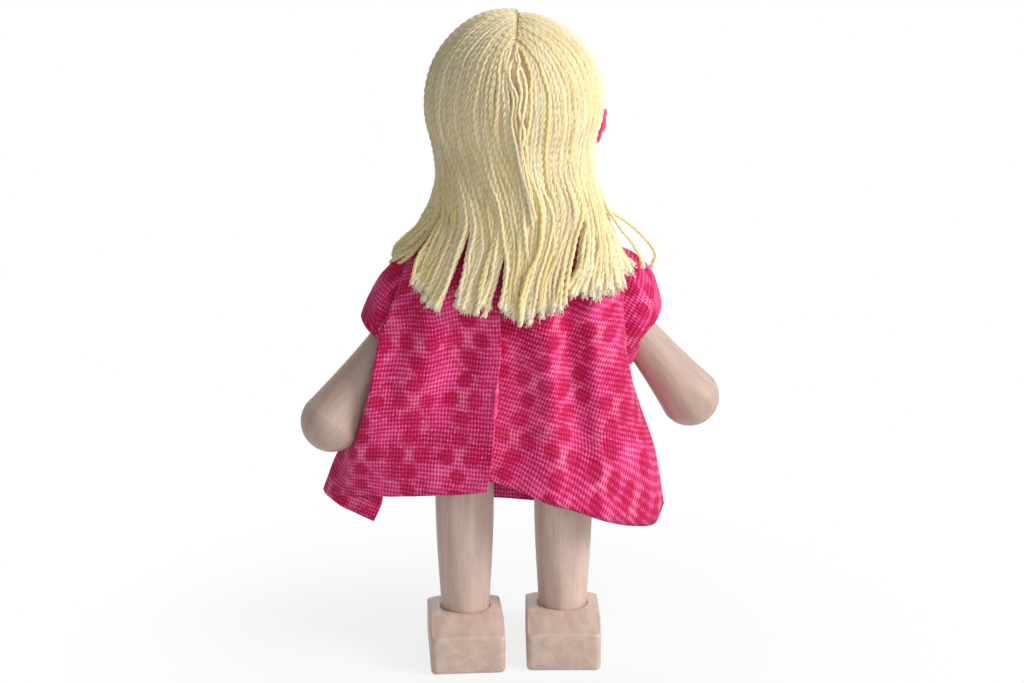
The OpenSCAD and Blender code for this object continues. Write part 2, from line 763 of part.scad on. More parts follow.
module sleeve(side, swing) {
    outer = [for (j = [0 : sleeve_rows]) [for (i = [0 : sleeve_steps - 1])
        sleeve_point(side, swing, 360 * i / sleeve_steps, j / sleeve_rows, 0)]];
    inner = [for (j = [0 : sleeve_rows]) [for (i = [0 : sleeve_steps - 1])
        sleeve_point(side, swing, 360 * i / sleeve_steps, j / sleeve_rows, 1)]];
    tube(outer, inner, side < 0);
}

// Closed tube wall between two stacks of rings
module tube(outer, inner, flip = false) {
    nj = len(outer);
    ni = len(outer[0]);
    points = concat([for (row = outer) for (p = row) p], [for (row = inner) for (p = row) p]);
    function at(k, j, i) = (k * nj + j) * ni + (i % ni);
    faces = concat(
        [for (j = [0 : nj - 2]) for (i = [0 : ni - 1]) [at(0, j, i), at(0, j, i + 1), at(0, j + 1, i + 1)]],
        [for (j = [0 : nj - 2]) for (i = [0 : ni - 1]) [at(0, j, i), at(0, j + 1, i + 1), at(0, j + 1, i)]],
        [for (j = [0 : nj - 2]) for (i = [0 : ni - 1]) [at(1, j, i), at(1, j + 1, i + 1), at(1, j, i + 1)]],
        [for (j = [0 : nj - 2]) for (i = [0 : ni - 1]) [at(1, j, i), at(1, j + 1, i), at(1, j + 1, i + 1)]],
        [for (i = [0 : ni - 1]) [at(0, 0, i + 1), at(0, 0, i), at(1, 0, i)]],
        [for (i = [0 : ni - 1]) [at(0, 0, i + 1), at(1, 0, i), at(1, 0, i + 1)]],
        [for (i = [0 : ni - 1]) [at(0, nj - 1, i), at(0, nj - 1, i + 1), at(1, nj - 1, i)]],
        [for (i = [0 : ni - 1]) [at(0, nj - 1, i + 1), at(1, nj - 1, i + 1), at(1, nj - 1, i)]]
    );
    polyhedron(points, flip ? [for (f = faces) [f[2], f[1], f[0]]] : faces, convexity = 10);
}

module left_sleeve() {
    color("palevioletred") sleeve(1, left_arm_back);
}

module right_sleeve() {
    color("palevioletred") sleeve(-1, -right_arm_forward);
}

torso();
neck_peg();
shoulder_dowel();
hip_dowel();
head();
hair_crown_left();
hair_crown_right();
hair_fall_left();
hair_fall_right();
hair_seam();
flower_petals();
flower_centre();
left_arm();
right_arm();
left_leg();
right_leg();
left_foot();
right_foot();
dress_front();
dress_back();
left_sleeve();
right_sleeve();
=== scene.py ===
import random
from math import cos, hypot, pi, radians, sin, sqrt, tan

import bmesh
import bpy
import numpy as np
from mathutils import Matrix, Vector, noise


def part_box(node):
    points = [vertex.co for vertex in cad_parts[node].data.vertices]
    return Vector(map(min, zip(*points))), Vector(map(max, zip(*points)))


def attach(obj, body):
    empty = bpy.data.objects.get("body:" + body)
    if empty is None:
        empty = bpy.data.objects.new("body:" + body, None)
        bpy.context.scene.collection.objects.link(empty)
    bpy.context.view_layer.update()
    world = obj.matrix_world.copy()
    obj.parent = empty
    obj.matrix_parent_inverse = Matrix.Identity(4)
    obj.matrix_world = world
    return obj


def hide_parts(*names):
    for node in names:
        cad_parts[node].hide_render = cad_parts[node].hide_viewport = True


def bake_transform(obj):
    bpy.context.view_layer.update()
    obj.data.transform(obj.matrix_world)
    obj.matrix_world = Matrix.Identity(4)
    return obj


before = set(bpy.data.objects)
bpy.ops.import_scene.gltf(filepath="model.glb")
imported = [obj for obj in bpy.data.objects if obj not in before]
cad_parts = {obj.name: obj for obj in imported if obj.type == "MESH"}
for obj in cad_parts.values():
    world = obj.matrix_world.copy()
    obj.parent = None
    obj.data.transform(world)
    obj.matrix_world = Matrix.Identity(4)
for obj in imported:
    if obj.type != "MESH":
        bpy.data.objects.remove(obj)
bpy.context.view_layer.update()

# Wooden peg doll with yarn hair and a cotton dress. Lengths are written in millimetres and scaled by MM.
MM = 0.001
rng = random.Random(7)


def mm(*xyz):
    return Vector(xyz) * MM


def new_object(name, data):
    thing = bpy.data.objects.new(name, data)
    bpy.context.scene.collection.objects.link(thing)
    return thing


# Camera: the photograph's view from behind and a little above
VIEW_AZIMUTH = radians(175.5)
VIEW_ELEVATION = radians(16)
VIEW_DISTANCE = 300
VIEW_TARGET = (0, 0, 50)
LENS = 70.15
SENSOR_W = 36
SHIFT = (-0.00195, 0.0026)


def add_camera():
    data = bpy.data.cameras.new("camera")
    data.lens = LENS
    data.sensor_width = SENSOR_W
    data.shift_x, data.shift_y = SHIFT
    data.clip_start = 10 * MM
    camera = new_object("camera", data)
    back = Vector((
        sin(VIEW_AZIMUTH) * cos(VIEW_ELEVATION),
        -cos(VIEW_AZIMUTH) * cos(VIEW_ELEVATION),
        sin(VIEW_ELEVATION),
    ))
    camera.location = (Vector(VIEW_TARGET) + back * VIEW_DISTANCE) * MM
    camera.rotation_euler = back.to_track_quat("Z", "Y").to_euler()
    bpy.context.scene.camera = camera


add_camera()

# Sizes taken from the frame
head_low, head_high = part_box("head")
HEAD_R = (head_high.x - head_low.x) / 2 / MM
HEAD_Z = head_high.z / MM - HEAD_R


# Material building
class Graph:
    """Adds shader nodes to a tree. Their kinds are written without ShaderNode."""

    def __init__(self, tree):
        self.tree = tree

    def add(self, kind, inputs=None, **settings):
        node = self.tree.nodes.new("ShaderNode" + kind)
        for key, value in settings.items():
            setattr(node, key, value)
        for key, value in (inputs or {}).items():
            self.put(node.inputs[key], value)
        return node

    def put(self, socket, value):
        """Links a socket or sets a constant; a colour can be hex text."""
        if isinstance(value, bpy.types.NodeSocket):
            self.tree.links.new(value, socket)
        else:
            socket.default_value = srgb(value) if isinstance(value, str) else value

    def math(self, operation, *values, **settings):
        return self.add("Math", dict(enumerate(values)), operation=operation, **settings).outputs[0]

    def plus(self, a, b):
        return self.math("ADD", a, b)

    def minus(self, a, b):
        return self.math("SUBTRACT", a, b)

    def times(self, first, *others):
        for value in others:
            first = self.math("MULTIPLY", first, value)
        return first

    def centred(self, value, width):
        """A value from 0 to 1, spread over the width with its middle at 0."""
        return self.times(self.minus(value, 0.5), width)

    def hypot(self, a, b):
        return self.math("SQRT", self.plus(self.times(a, a), self.times(b, b)))

    def wave(self, value, pitch):
        """Cosine wave from 0 to 1 with its crests pitch apart."""
        return self.plus(self.times(self.math("COSINE", self.times(value, 2 * pi / pitch)), 0.5), 0.5)

    def split(self, vector):
        return self.add("SeparateXYZ", {0: vector}).outputs

    def moved(self, vector, offset):
        return self.add("VectorMath", {0: vector, 1: offset}, operation="ADD").outputs[0]

    def turned(self, vector, rotation=(0, 0, 0), scale=(1, 1, 1)):
        inputs = {"Vector": vector, "Rotation": rotation, "Scale": scale}
        return self.add("Mapping", inputs).outputs[0]

    def step(self, value, low, high, least=0):
        """least below low, 1 above high, smooth between; the other way round where low is above high."""
        ends = (1, least) if low > high else (least, 1)
        return self.add("MapRange", {
            "Value": value, "From Min": min(low, high), "From Max": max(low, high),
            "To Min": ends[0], "To Max": ends[1],
        }, interpolation_type="SMOOTHSTEP").outputs["Result"]

    def noise(self, vector, scale, detail=2, roughness=0.5, output="Fac"):
        return self.add("TexNoise", {
            "Vector": vector, "Scale": scale, "Detail": detail, "Roughness": roughness,
        }).outputs[output]

    def attribute(self, name, output="Fac"):
        return self.add("Attribute", attribute_name=name).outputs[output]

    def coordinates(self):
        return self.add("TexCoord").outputs["Object"]

    def place(self):
        """Object coordinates in millimetres."""
        inputs = {0: self.coordinates(), 3: 1 / MM}
        return self.add("VectorMath", inputs, operation="SCALE").outputs[0]

    def mix(self, factor, a, b):
        return self.add("Mix", {"Factor": factor, 6: a, 7: b}, data_type="RGBA").outputs[2]

    def over(self, base, color, *amounts):
        """The base with a colour laid over it, by the product of the amounts."""
        return self.mix(self.times(*amounts), base, color)

    def seen(self):
        """1 for what the camera sees, also in mirrors and through glass, and 0 for light on the object."""
        path = self.add("LightPath").outputs
        direct = self.plus(path["Is Camera Ray"], path["Is Glossy Ray"])
        return self.math("ADD", direct, path["Is Transmission Ray"], use_clamp=True)

    def mix_shader(self, factor, a, b):
        return self.add("MixShader", {0: factor, 1: a, 2: b}).outputs[0]


class Surface(Graph):
    """A node material that grows from its Principled shader."""

    def __init__(self, name, **constants):
        self.material = bpy.data.materials.new(name)
        self.material.use_nodes = True
        super().__init__(self.material.node_tree)
        self.shader = self.tree.nodes["Principled BSDF"]
        for socket, value in constants.items():
            self.shader.inputs[socket.replace("_", " ")].default_value = value

    def bump(self, height, distance, strength=1):
        inputs = {"Height": height, "Distance": distance * MM, "Strength": strength}
        self.put(self.shader.inputs["Normal"], self.add("Bump", inputs).outputs[0])

    def color(self, value):
        self.put(self.shader.inputs["Base Color"], value)
        return self.material


def srgb(text):
    """Linear colour of a six-digit hex colour."""
    parts = [int(text[i : i + 2], 16) / 255 for i in (0, 2, 4)]
    return tuple(p / 12.92 if p <= 0.04045 else ((p + 0.055) / 1.055) ** 2.4 for p in parts) + (1,)


def darker(color, share):
    return tuple(share * c for c in srgb(color)[:3]) + (1,)


ARM_WOOD = ("bda597", "ad9284")
LEG_WOOD = ("d4bdb0", "c4a89b")
FOOT_WOOD = ("d0b9ab", "c2a799")
INNER_WOOD = ("d9bf9f", "c2a07b")


def wood(name, colors, rotation=(0, 0, 0), roughness=0.5, grain=1):
    """Fine sanded beech whose grain runs along the Z axis, turned by the rotation in degrees."""
    pale, dark = colors
    g = Surface(name, Roughness=roughness)
    place = g.turned(g.place(), [radians(angle) for angle in rotation])
    rings = g.noise(g.turned(place, scale=(0.5, 0.5, 0.03)), 1.3, 3, 0.6)
    fibres = g.noise(g.turned(place, scale=(3.4, 3.4, 0.22)), 1, 4, 0.65)
    flecks = g.noise(g.turned(place, scale=(4.2, 4.2, 1.3)), 1.2, 3, 0.6)
    body = g.mix(g.step(rings, 0.3, 0.7), pale, dark)
    lined = g.over(body, darker(dark, 0.62), g.step(fibres, 0.5, 0.72), 0.3 * grain)
    g.bump(fibres, 0.04, 0.5)
    return g.color(g.over(lined, darker(dark, 0.45), g.step(flecks, 0.55, 0.7), 0.22 * grain))


# Painted face
EYE_X = 3.9
EYE_Z = HEAD_Z - 0.4
EYE_R = 0.78
CHEEK_X = 6.3
CHEEK_Z = EYE_Z - 3.4
SMILE_Z = EYE_Z - 1.9
SMILE_R = 3.2


def head_wood():
    """Turned beech with painted dot eyes, each with a painted highlight, a small smile and faint cheeks on
    the side that faces -Y.
    """
    g = Surface("head_wood", Roughness=0.45)
    place = g.place()
    fibres = g.noise(g.turned(place, scale=(2.6, 2.6, 0.25)), 1, 4, 0.6)
    skin = g.mix(g.step(fibres, 0.4, 0.7), "e6c8ae", "d2ab8e")
    x, y, z = g.split(place)
    across = g.math("ABSOLUTE", x)
    front = g.step(y, -2, -4)

    def spot(spot_x, spot_z, radius, soft):
        far = g.hypot(g.minus(across, spot_x), g.minus(z, spot_z))
        return g.times(g.step(far, radius + soft, radius), front)

    face = g.over(skin, "e08a7c", spot(CHEEK_X, CHEEK_Z, 0.4, 2.2), 0.45)
    face = g.mix(spot(EYE_X, EYE_Z, EYE_R, 0.12), face, "3a2417")
    # A small pale dot high in each eye is a painted highlight.
    face = g.mix(spot(EYE_X - 0.25, EYE_Z + 0.28, 0.12, 0.1), face, "f4ece2")
    down = g.minus(z, SMILE_Z)
    off_smile = g.math("ABSOLUTE", g.minus(g.hypot(across, down), SMILE_R))
    low = g.times(g.step(across, 2.1, 1.95), g.step(down, -2, -2.2))
    g.bump(fibres, 0.03, 0.4)
    return g.color(g.over(face, "b4473f", g.step(off_smile, 0.24, 0.14), low, front))


def yarn():
    """Twisted cotton yarn, paler at its cut tips, with painted shade in the grooves between its plies."""
    g = Surface(
        "hair_yarn", Roughness=0.78, Sheen_Weight=0.35, Sheen_Roughness=0.45,
        Subsurface_Weight=0.35, Subsurface_Radius=(1, 0.9, 0.7), Subsurface_Scale=0.9 * MM,
    )
    place = g.place()
    streak = g.noise(g.turned(place, scale=(0.22, 0.22, 0.07)), 1, 2)
    fuzz = g.noise(place, 7, 3, 0.7)
    shade = g.plus(g.attribute("tone"), g.centred(streak, 0.9))
    base = g.mix(g.step(shade, 0.1, 0.9), "ecd28e", "fdebbf")
    # Painted shade: the yarn is darkened along the grooves between its plies.
    plied = g.over(base, "d4b873", g.attribute("ply_groove_shade"), 0.28)
    soft = g.over(plied, "fff6da", g.step(fuzz, 0.4, 0.7), 0.18)
    g.bump(fuzz, 0.05, 0.6)
    return g.color(g.over(soft, "f8ead0", g.attribute("tip"), 0.7))


def felt(name, pale, dark):
    g = Surface(name, Roughness=0.85, Sheen_Weight=0.6, Sheen_Roughness=0.4)
    place = g.place()
    hairs = g.noise(place, 3.2, 5, 0.75)
    cloud = g.noise(place, 0.7, 2)
    g.bump(hairs, 0.15, 0.8)
    return g.color(g.mix(g.plus(g.times(hairs, 0.7), g.times(cloud, 0.3)), dark, pale))


# Weave and print of the dress, in millimetres of flat cloth
THREAD_U = 0.485
THREAD_V = 0.69
SLACK_U = 0.15
SLACK_V = 0.25
CELL_U = 7.4
CELL_V = 9.1
DOT_R = 1.25
DOT_BLUR = 0.3
PRINT_WARP = 0.5
CELLS_BESIDE = 200


def cotton():
    """Open plain weave with a mottled pink ground and soft crimson dots in rows and columns, painted shade in
    the gaps between its threads and painted highlights where they cross.
    """
    g = Surface(
        "dress_cotton", Roughness=0.85, Specular_IOR_Level=0.2, Sheen_Weight=0.06, Sheen_Roughness=0.5,
    )
    cloth = g.attribute("cloth", "Vector")
    flat_u, flat_v, _ = g.split(cloth)
    slack_u, slack_v, _ = g.split(g.noise(cloth, 0.75, output="Color"))
    u = g.plus(flat_u, g.centred(slack_u, SLACK_U))
    v = g.plus(flat_v, g.centred(slack_v, SLACK_V))
    warp_u, warp_v, _ = g.split(g.noise(cloth, 0.16, output="Color"))
    print_u = g.plus(u, g.centred(warp_u, PRINT_WARP))
    print_v = g.plus(v, g.centred(warp_v, PRINT_WARP))
    bleed = g.centred(g.noise(cloth, 0.8, 2, 0.6), 1.1)

    def off_line(value, pitch, move=0):
        """Distance from the nearest of a set of lines, pitch apart."""
        return g.math("PINGPONG", g.plus(value, CELLS_BESIDE * pitch + move), pitch / 2)

    def dots(pitch_u, pitch_v, move_u=0):
        far = g.hypot(off_line(print_u, pitch_u, move_u), off_line(print_v, pitch_v))
        return g.step(g.plus(far, bleed), DOT_R + DOT_BLUR, DOT_R - DOT_BLUR)

    uprights = g.times(dots(CELL_U, CELL_V / 3), g.step(off_line(print_v, CELL_V), 1, 1.6))
    chain = g.math("MAXIMUM", uprights, dots(CELL_U / 2, CELL_V, CELL_U / 4))
    faded = g.step(g.noise(cloth, 0.1, 2, 0.5), 0.3, 0.5)
    dot = g.times(chain, g.plus(0.7, g.times(faded, 0.3)))
    cloud = g.noise(g.moved(cloth, (3, 8, 0)), 0.13, 3, 0.6)
    blot = g.noise(g.moved(cloth, (40, 17, 3)), 0.34, 3, 0.6)
    crossing = g.hypot(off_line(print_u, CELL_U), off_line(print_v, CELL_V))
    pale = "fb84b0"
    ground = g.mix(g.step(cloud, 0.35, 0.61), "f04a90", "c9125e")
    ground = g.over(ground, pale, g.step(blot, 0.5, 0.7), 0.5)
    ground = g.over(ground, pale, g.step(crossing, 2.3, 0.3), 0.45)
    printed = g.over(ground, "c40a4c", dot, 0.92)
    thread_u, thread_v = g.wave(u, THREAD_U), g.wave(v, THREAD_V)
    knot = g.times(thread_u, thread_v)
    thread = g.math("MAXIMUM", thread_u, thread_v)
    uneven = g.noise(cloth, 1.7, 3, 0.65)
    hole = g.step(g.plus(thread, g.centred(uneven, 0.7)), 0.72, 0.26)
    glint = g.times(g.step(knot, 0.35, 0.9), g.step(uneven, 0.36, 0.66))
    # Painted shade: the gaps between the threads are darkened to a deep crimson.
    woven = g.over(printed, "92073a", hole, 0.85)
    woven = g.over(woven, "ff9dc2", glint, g.minus(0.75, g.times(dot, 0.5)))
    g.bump(g.plus(thread, knot), 0.07, 0.6)
    return g.color(woven)


# Mesh building
def new_piece(name, vertices, faces, material, attributes=None):
    """Smooth mesh object from millimetre points; attributes are per point, of 1 or 3 values each."""
    mesh = bpy.data.meshes.new(name)
    points = (np.asarray(vertices, float) * MM).tolist()
    mesh.from_pydata(points, [], faces.tolist() if isinstance(faces, np.ndarray) else faces)
    for key, values in (attributes or {}).items():
        values = np.asarray(values, np.float32)
        kind, field = ("FLOAT_VECTOR", "vector") if values.ndim == 2 else ("FLOAT", "value")
        mesh.attributes.new(key, kind, "POINT").data.foreach_set(field, values.ravel())
    return link_piece(name, mesh, material)


def link_piece(name, mesh, material):
    mesh.shade_smooth()
    mesh.materials.append(material)
    return new_object(name, mesh)


def grid_faces(rows, columns, closed=False):
    """Faces of a grid of points; a closed one joins its last column to its first."""
    j, i = np.meshgrid(np.arange(rows - 1), np.arange(columns if closed else columns - 1), indexing="ij")
    k = (i + 1) % columns
    corners = [j * columns + i, j * columns + k, (j + 1) * columns + k, (j + 1) * columns + i]
    return np.stack(corners, -1).reshape(-1, 4)


def tube_faces(rows, columns, base=0):
    """Faces of a closed grid whose points start at base, and of its ends, whose middles follow the grid."""
    middle = base + rows * columns
    faces = (base + grid_faces(rows, columns, closed=True)).tolist()
    for i in range(columns):
        k = (i + 1) % columns
        faces += [(base + k, base + i, middle), (middle - columns + i, middle - columns + k, middle + 1)]
    return faces


def weld(piece, distance):
    b = bmesh.new()
    b.from_mesh(piece.data)
    bmesh.ops.remove_doubles(b, verts=b.verts, dist=distance * MM)
    bmesh.ops.recalc_face_normals(b, faces=b.faces)
    b.to_mesh(piece.data)
    b.free()
    piece.data.shade_smooth()


def paint(material, *nodes):
    """Gives the objects of CAD nodes their material."""
    for node in nodes:
        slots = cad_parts[node].data.materials
        slots.clear()
        slots.append(material)


def between(t, low, high, start, end):
    """Value at t of the straight change from start at low to end at high."""
    return (high - t) / (high - low) * start + (t - low) / (high - low) * end


def curve_points(controls, steps):
    """Centripetal Catmull-Rom curve through the controls, with steps points in each span."""
    p = np.asarray(controls, float)
    p = np.vstack([2 * p[0] - p[1], p, 2 * p[-1] - p[-2]])
    out = []
    for i in range(1, len(p) - 2):
        a, b, c, d = p[i - 1 : i + 3]
        knots = [0.0]
        for start, end in ((a, b), (b, c), (c, d)):
            knots.append(knots[-1] + max(np.linalg.norm(end - start), 1e-4) ** 0.5)
        t0, t1, t2, t3 = knots
        last = i == len(p) - 3
        t = np.linspace(t1, t2, steps + 1)[: None if last else -1, None]
        bc = between(t, t1, t2, b, c)
        abc = between(t, t0, t2, between(t, t0, t1, a, b), bc)
        bcd = between(t, t1, t3, bc, between(t, t2, t3, c, d))
        out.append(between(t, t1, t2, abc, bcd))
    return np.vstack(out)


def lengths_along(points, axis=0):
    """Distances from the first point along the polylines in an array of points."""
    steps = np.linalg.norm(np.diff(points, axis=axis), axis=-1)
    return np.concatenate([np.zeros_like(steps.take([0], axis)), np.cumsum(steps, axis)], axis)


def even_points(points, count):
    """count points spread evenly along a polyline."""
    along = lengths_along(points)
    at = np.linspace(0, along[-1], count)
    return np.stack([np.interp(at, along, points[:, k]) for k in range(3)], 1)


def spun(x, y, angle):
    """x and y of points turned by the angle."""
    return x * np.cos(angle) - y * np.sin(angle), x * np.sin(angle) + y * np.cos(angle)


def unit(vectors):
    return vectors / np.linalg.norm(vectors, axis=-1, keepdims=True)


# Yarn hair: a yarn's radius, length of twist, gap between rings, corners, and fibres at its cut end
YARN_R = 0.37
PLY_TURN = 2.2
RING_GAP = 0.34
YARN_SIDES = 8
FRAY_COUNT = 7
FRAY_R = 0.1
# Share of the radius between the plies, and what the plies add
YARN_CORE = 0.74
PLY_LOBE = 0.28
# Swelling of the last rings, and the length that is paler there
CUT_SWELL = (1.04, 1.12, 1.2, 1.26, 1.1)
TIP_L = 1.6


class Strands:
    """Collects twisted two-ply yarns and makes one piece of them."""

    def __init__(self):
        self.points, self.faces = [], []
        self.values = {"tone": [], "ply_groove_shade": [], "tip": []}
        self.count = 0

    def lay(self, path, radius=YARN_R, tone=0.5, phase=0.0, sides=YARN_SIDES, gap=RING_GAP):
        """One yarn along the path, with its plies turned by the phase at the start."""
        length = np.linalg.norm(np.diff(path, axis=0), axis=1).sum()
        rings = max(6, int(length / gap))
        centre = even_points(path, rings)
        tangent = unit(np.gradient(centre, axis=0))
        side = np.empty_like(tangent)
        side[0] = unit(np.cross(tangent[0], (0.3, 1, 0.2)))
        for i in range(1, rings):
            side[i] = unit(side[i - 1] - tangent[i] * (side[i - 1] @ tangent[i]))
        across = np.cross(tangent, side)
        s = np.arange(rings) * length / (rings - 1)
        twist = (s / PLY_TURN * 2 * pi + phase)[:, None]
        a = np.arange(sides) * 2 * pi / sides + twist
        lobe = np.abs(np.cos(a - twist))
        swell = np.ones(rings)
        if radius > 2 * FRAY_R:
            swell[-len(CUT_SWELL) :] = CUT_SWELL
        swell[0] = 0.6
        r = radius * (YARN_CORE + PLY_LOBE * lobe) * swell[:, None]
        spokes = np.cos(a)[..., None] * side[:, None] + np.sin(a)[..., None] * across[:, None]
        self.points.append((centre[:, None] + r[..., None] * spokes).reshape(-1, 3))
        self.points.append(centre[[0, -1]] + tangent[[0, -1]] * [[0], [0.08]])
        self.faces += tube_faces(rings, sides, self.count)
        total = rings * sides + 2
        # Share of painted shade at each point, highest in the grooves between the plies.
        ply_groove_shade = np.clip(1 - lobe * 1.7, 0, 1).ravel()
        pale = np.repeat(np.clip(1 - (length - s) / TIP_L, 0, 1), sides)
        self.values["tone"].append(np.full(total, tone))
        self.values["ply_groove_shade"].append(np.concatenate([ply_groove_shade, [0.3, 0]]))
        self.values["tip"].append(np.concatenate([pale, [0, 1]]))
        self.count += total

    def fray(self, path, radius, tone):
        """Loose fibres at a yarn's cut end."""
        ahead = unit(path[-1] - path[-3])
        for _ in range(FRAY_COUNT):
            lean = scatter(0.2)
            start = path[-1] - ahead * rng.uniform(0.3, 0.7) + lean * radius * 2
            reach = ahead + lean
            length = rng.uniform(0.4, 0.75)
            end = start + (reach + scatter(0.12)) * length
            self.lay(curve_points([start, start + reach * length * 0.5, end], 3), FRAY_R, tone, 0, 3)

    def piece(self, name, material):
        values = {key: np.concatenate(parts) for key, parts in self.values.items()}
        return new_piece(name, np.vstack(self.points), self.faces, material, values)


def scatter(spread):
    return np.array([rng.gauss(0, spread) for _ in range(3)])


# The parting: its ends in degrees back from the top, its X at the top and what it gains with each degree
SEAM_BACK = 42
SEAM_FRONT = -28
SEAM_TOP_X = -0.42
SEAM_SLOPE = 0.022


def seam_degrees(share):
    """Angle from the top at a share of the parting, from its back to its front."""
    return SEAM_BACK + (SEAM_FRONT - SEAM_BACK) * share


def seam_x(degrees):
    """The parting runs a little askew over the head."""
    return SEAM_TOP_X + SEAM_SLOPE * degrees


# Degrees round the head that the first yarn turns, and how many more the last
FIRST_TURN = 1.5
TURN_RANGE = 118.5
# Angle from the top at which the yarns leave the head, and their share of the turn there
FALL_POLAR = radians(110)
FALL_DRIFT = 0.94
# How far the hair stands out by the angle from the top, left and right of the parting
SWELL_ANGLES = np.radians((0, 20, 42, 60, 75, 90))
LEFT_SWELL = (0.5, 0.9, 0.55, 0.3, 0.05, -0.1)
RIGHT_SWELL = (0.3, -0.05, -0.2, -0.2, -0.25, -0.3)
# Dip of the yarns at the parting, and the bare opening at its back
SEAM_DIP = 0.4
OPENING = 1.25
ARC_POINTS = 16


def head_arc(side, s, radius, jitter):
    """Yarn over one side of the head; s is 0 at the back of the parting and 1 at the face."""
    degrees = seam_degrees(s)
    start = radians(degrees)
    turn = radians(FIRST_TURN + TURN_RANGE * s ** 0.93 + jitter * min(1, 6 * s))
    u0 = np.array([0, sin(start), cos(start)])
    drift = turn * FALL_DRIFT
    u1 = np.array([
        side * sin(drift) * sin(FALL_POLAR),
        cos(drift) * sin(FALL_POLAR),
        cos(FALL_POLAR),
    ])
    middle = unit(u0 + u1) + (side * 0.42 * sin(turn), 0, 0.12)
    t = np.linspace(0, 1, ARC_POINTS)[:, None]
    u = unit((1 - t) ** 2 * u0 + 2 * t * (1 - t) * middle + t ** 2 * u1)
    swell = np.interp(np.arccos(u[:, 2]), SWELL_ANGLES, LEFT_SWELL if side > 0 else RIGHT_SWELL)[:, None]
    arc = u * (radius + swell - SEAM_DIP * (1 - t) ** 6) + (0, 0, HEAD_Z)
    t = t[:, 0]
    opening = OPENING * (1 - s) ** 9 * np.sin(pi * np.minimum(1, 1.05 * t) ** 0.7)
    arc[:, 0] += seam_x(degrees) * (1 - t) + side * ((1 - t) * 0.1 + opening)
    return arc


# Locks of hanging hair from the parting's back to the face: share of the half head where the lock ends, then
# the points that its first and its last yarn pass on their way down to the cut end
LEFT_LOCKS = [
    (0.22, [(-0.6, 12.4, 78), (-1.6, 12.4, 72), (-2, 12.1, 67), (-2.2, 11.6, 62), (-1.9, 11.2, 56.7)],
     [(4.8, 11.4, 78), (2.3, 12, 70.5), (2, 11.9, 67), (2.1, 11.6, 62), (2.4, 11.1, 57.9)]),
    (0.44, [(4.8, 11.4, 78), (2.6, 11.9, 70.5), (2.8, 11.8, 67), (4, 11.4, 62), (5, 11, 57.8)],
     [(8.9, 8.9, 78), (7.2, 10.5, 71), (7.6, 10.7, 67), (8.7, 10.6, 62.5), (9.6, 10.2, 59.2)]),
    (0.64, [(8.9, 8.9, 78), (7.6, 10.3, 71), (8.5, 10.5, 67.5), (10.5, 10.2, 62.5), (12.1, 9.8, 58.3)],
     [(11.2, 5.2, 78), (11.4, 6.8, 71.5), (12.8, 7.4, 68), (14.7, 7.6, 65), (15.8, 7.5, 62.2)]),
    (0.83, [(11.2, 5, 78), (11.8, 5.2, 71.8), (14.6, 4.2, 68.3), (17.8, 1.2, 65.2), (17.5, -4.6, 62.2),
     (15, -8, 59)],
     [(11.7, -0.6, 78), (12.2, -0.4, 72.6), (15.2, -1.4, 68.6), (17.8, -3.8, 65), (16, -7.8, 61.2),
      (13.2, -9.9, 58.4)]),
    (1, [(11.6, -1, 78), (12.3, -3, 72), (14.4, -6, 67.5), (13.4, -9, 63), (12.2, -10.4, 58.6)],
     [(9.7, -6.3, 78), (9.9, -8, 72), (10.4, -9.8, 66.5), (9.6, -11, 62), (8.8, -11.4, 58.2)]),
]
RIGHT_LOCKS = [
    (0.3, [(-0.9, 12.5, 78), (-2.5, 12.3, 72.5), (-2.4, 12.4, 68.5), (-0.6, 12.2, 62.5), (0.2, 11.6, 56.6)],
     [(-7.7, 9.9, 78), (-9, 10.5, 72.5), (-8, 11, 68.5), (-6.6, 11.2, 62.5), (-6.2, 11, 58.7)]),
    (0.5, [(-7.7, 9.9, 78), (-9.6, 10, 71), (-9.6, 10.2, 68), (-8.6, 10.8, 64), (-7.1, 10.9, 60.9)],
     [(-10.9, 6.2, 78), (-11.7, 8, 71), (-12.5, 8.8, 67), (-12.8, 9.4, 63), (-12.5, 9.7, 59.6)]),
    (0.67, [(-10.9, 6.2, 78), (-11.8, 7.8, 71), (-12.6, 8.8, 67), (-12.8, 9.6, 60.4)],
     [(-11.8, 2.6, 78), (-12.9, 4.6, 71.5), (-14.2, 6.6, 67), (-15.3, 8, 60.9)]),
    (0.84, [(-11.6, 2.6, 78), (-12.8, 4, 71.5), (-14.4, 5.6, 67.2), (-15.3, 6.3, 64.6), (-15.9, 6.8, 62.4)],
     [(-11.6, -1.6, 78), (-12.6, -0.8, 72), (-14.6, 0.4, 67.4), (-15.8, 1.6, 64.6), (-17.8, 2.8, 61.9)]),
    (1, [(-11.9, -2, 78), (-12.9, -3.6, 72), (-15.2, -6.2, 67.4), (-14.4, -9.2, 63), (-13.2, -10.4, 58.8)],
     [(-9.9, -6.4, 78), (-10.2, -8.2, 72), (-10.8, -10, 66.5), (-10, -11, 62), (-9.2, -11.4, 58.4)]),
]
# Depth of the lock over the left shoulder, the only one of six points, and its share at each of them
SHOULDER_FILL = 2.9
SHOULDER_SHARES = (0, 0.5, 1, 0.9, 0.4, 0)
# Layers of yarn from the inside out: height, yarns on each side, gap between rings, sway in degrees, waves
LAYERS = ((0, 64, 0.35, 1.6, 0.3), (0.12, 50, 0.46, 5, 0.55), (0.22, 30, 0.36, 5, 0.55))
INNER_R = HEAD_R + 0.24
# Plainer yarns under the layers, and the share of the half head that they cover
UNDER_DEPTH = 0.6
UNDER_COUNT = 30
UNDER_SHARE = 0.85
UNDER_SIDES = 6
UNDER_GAP = 0.5
HANG_STEPS = 6


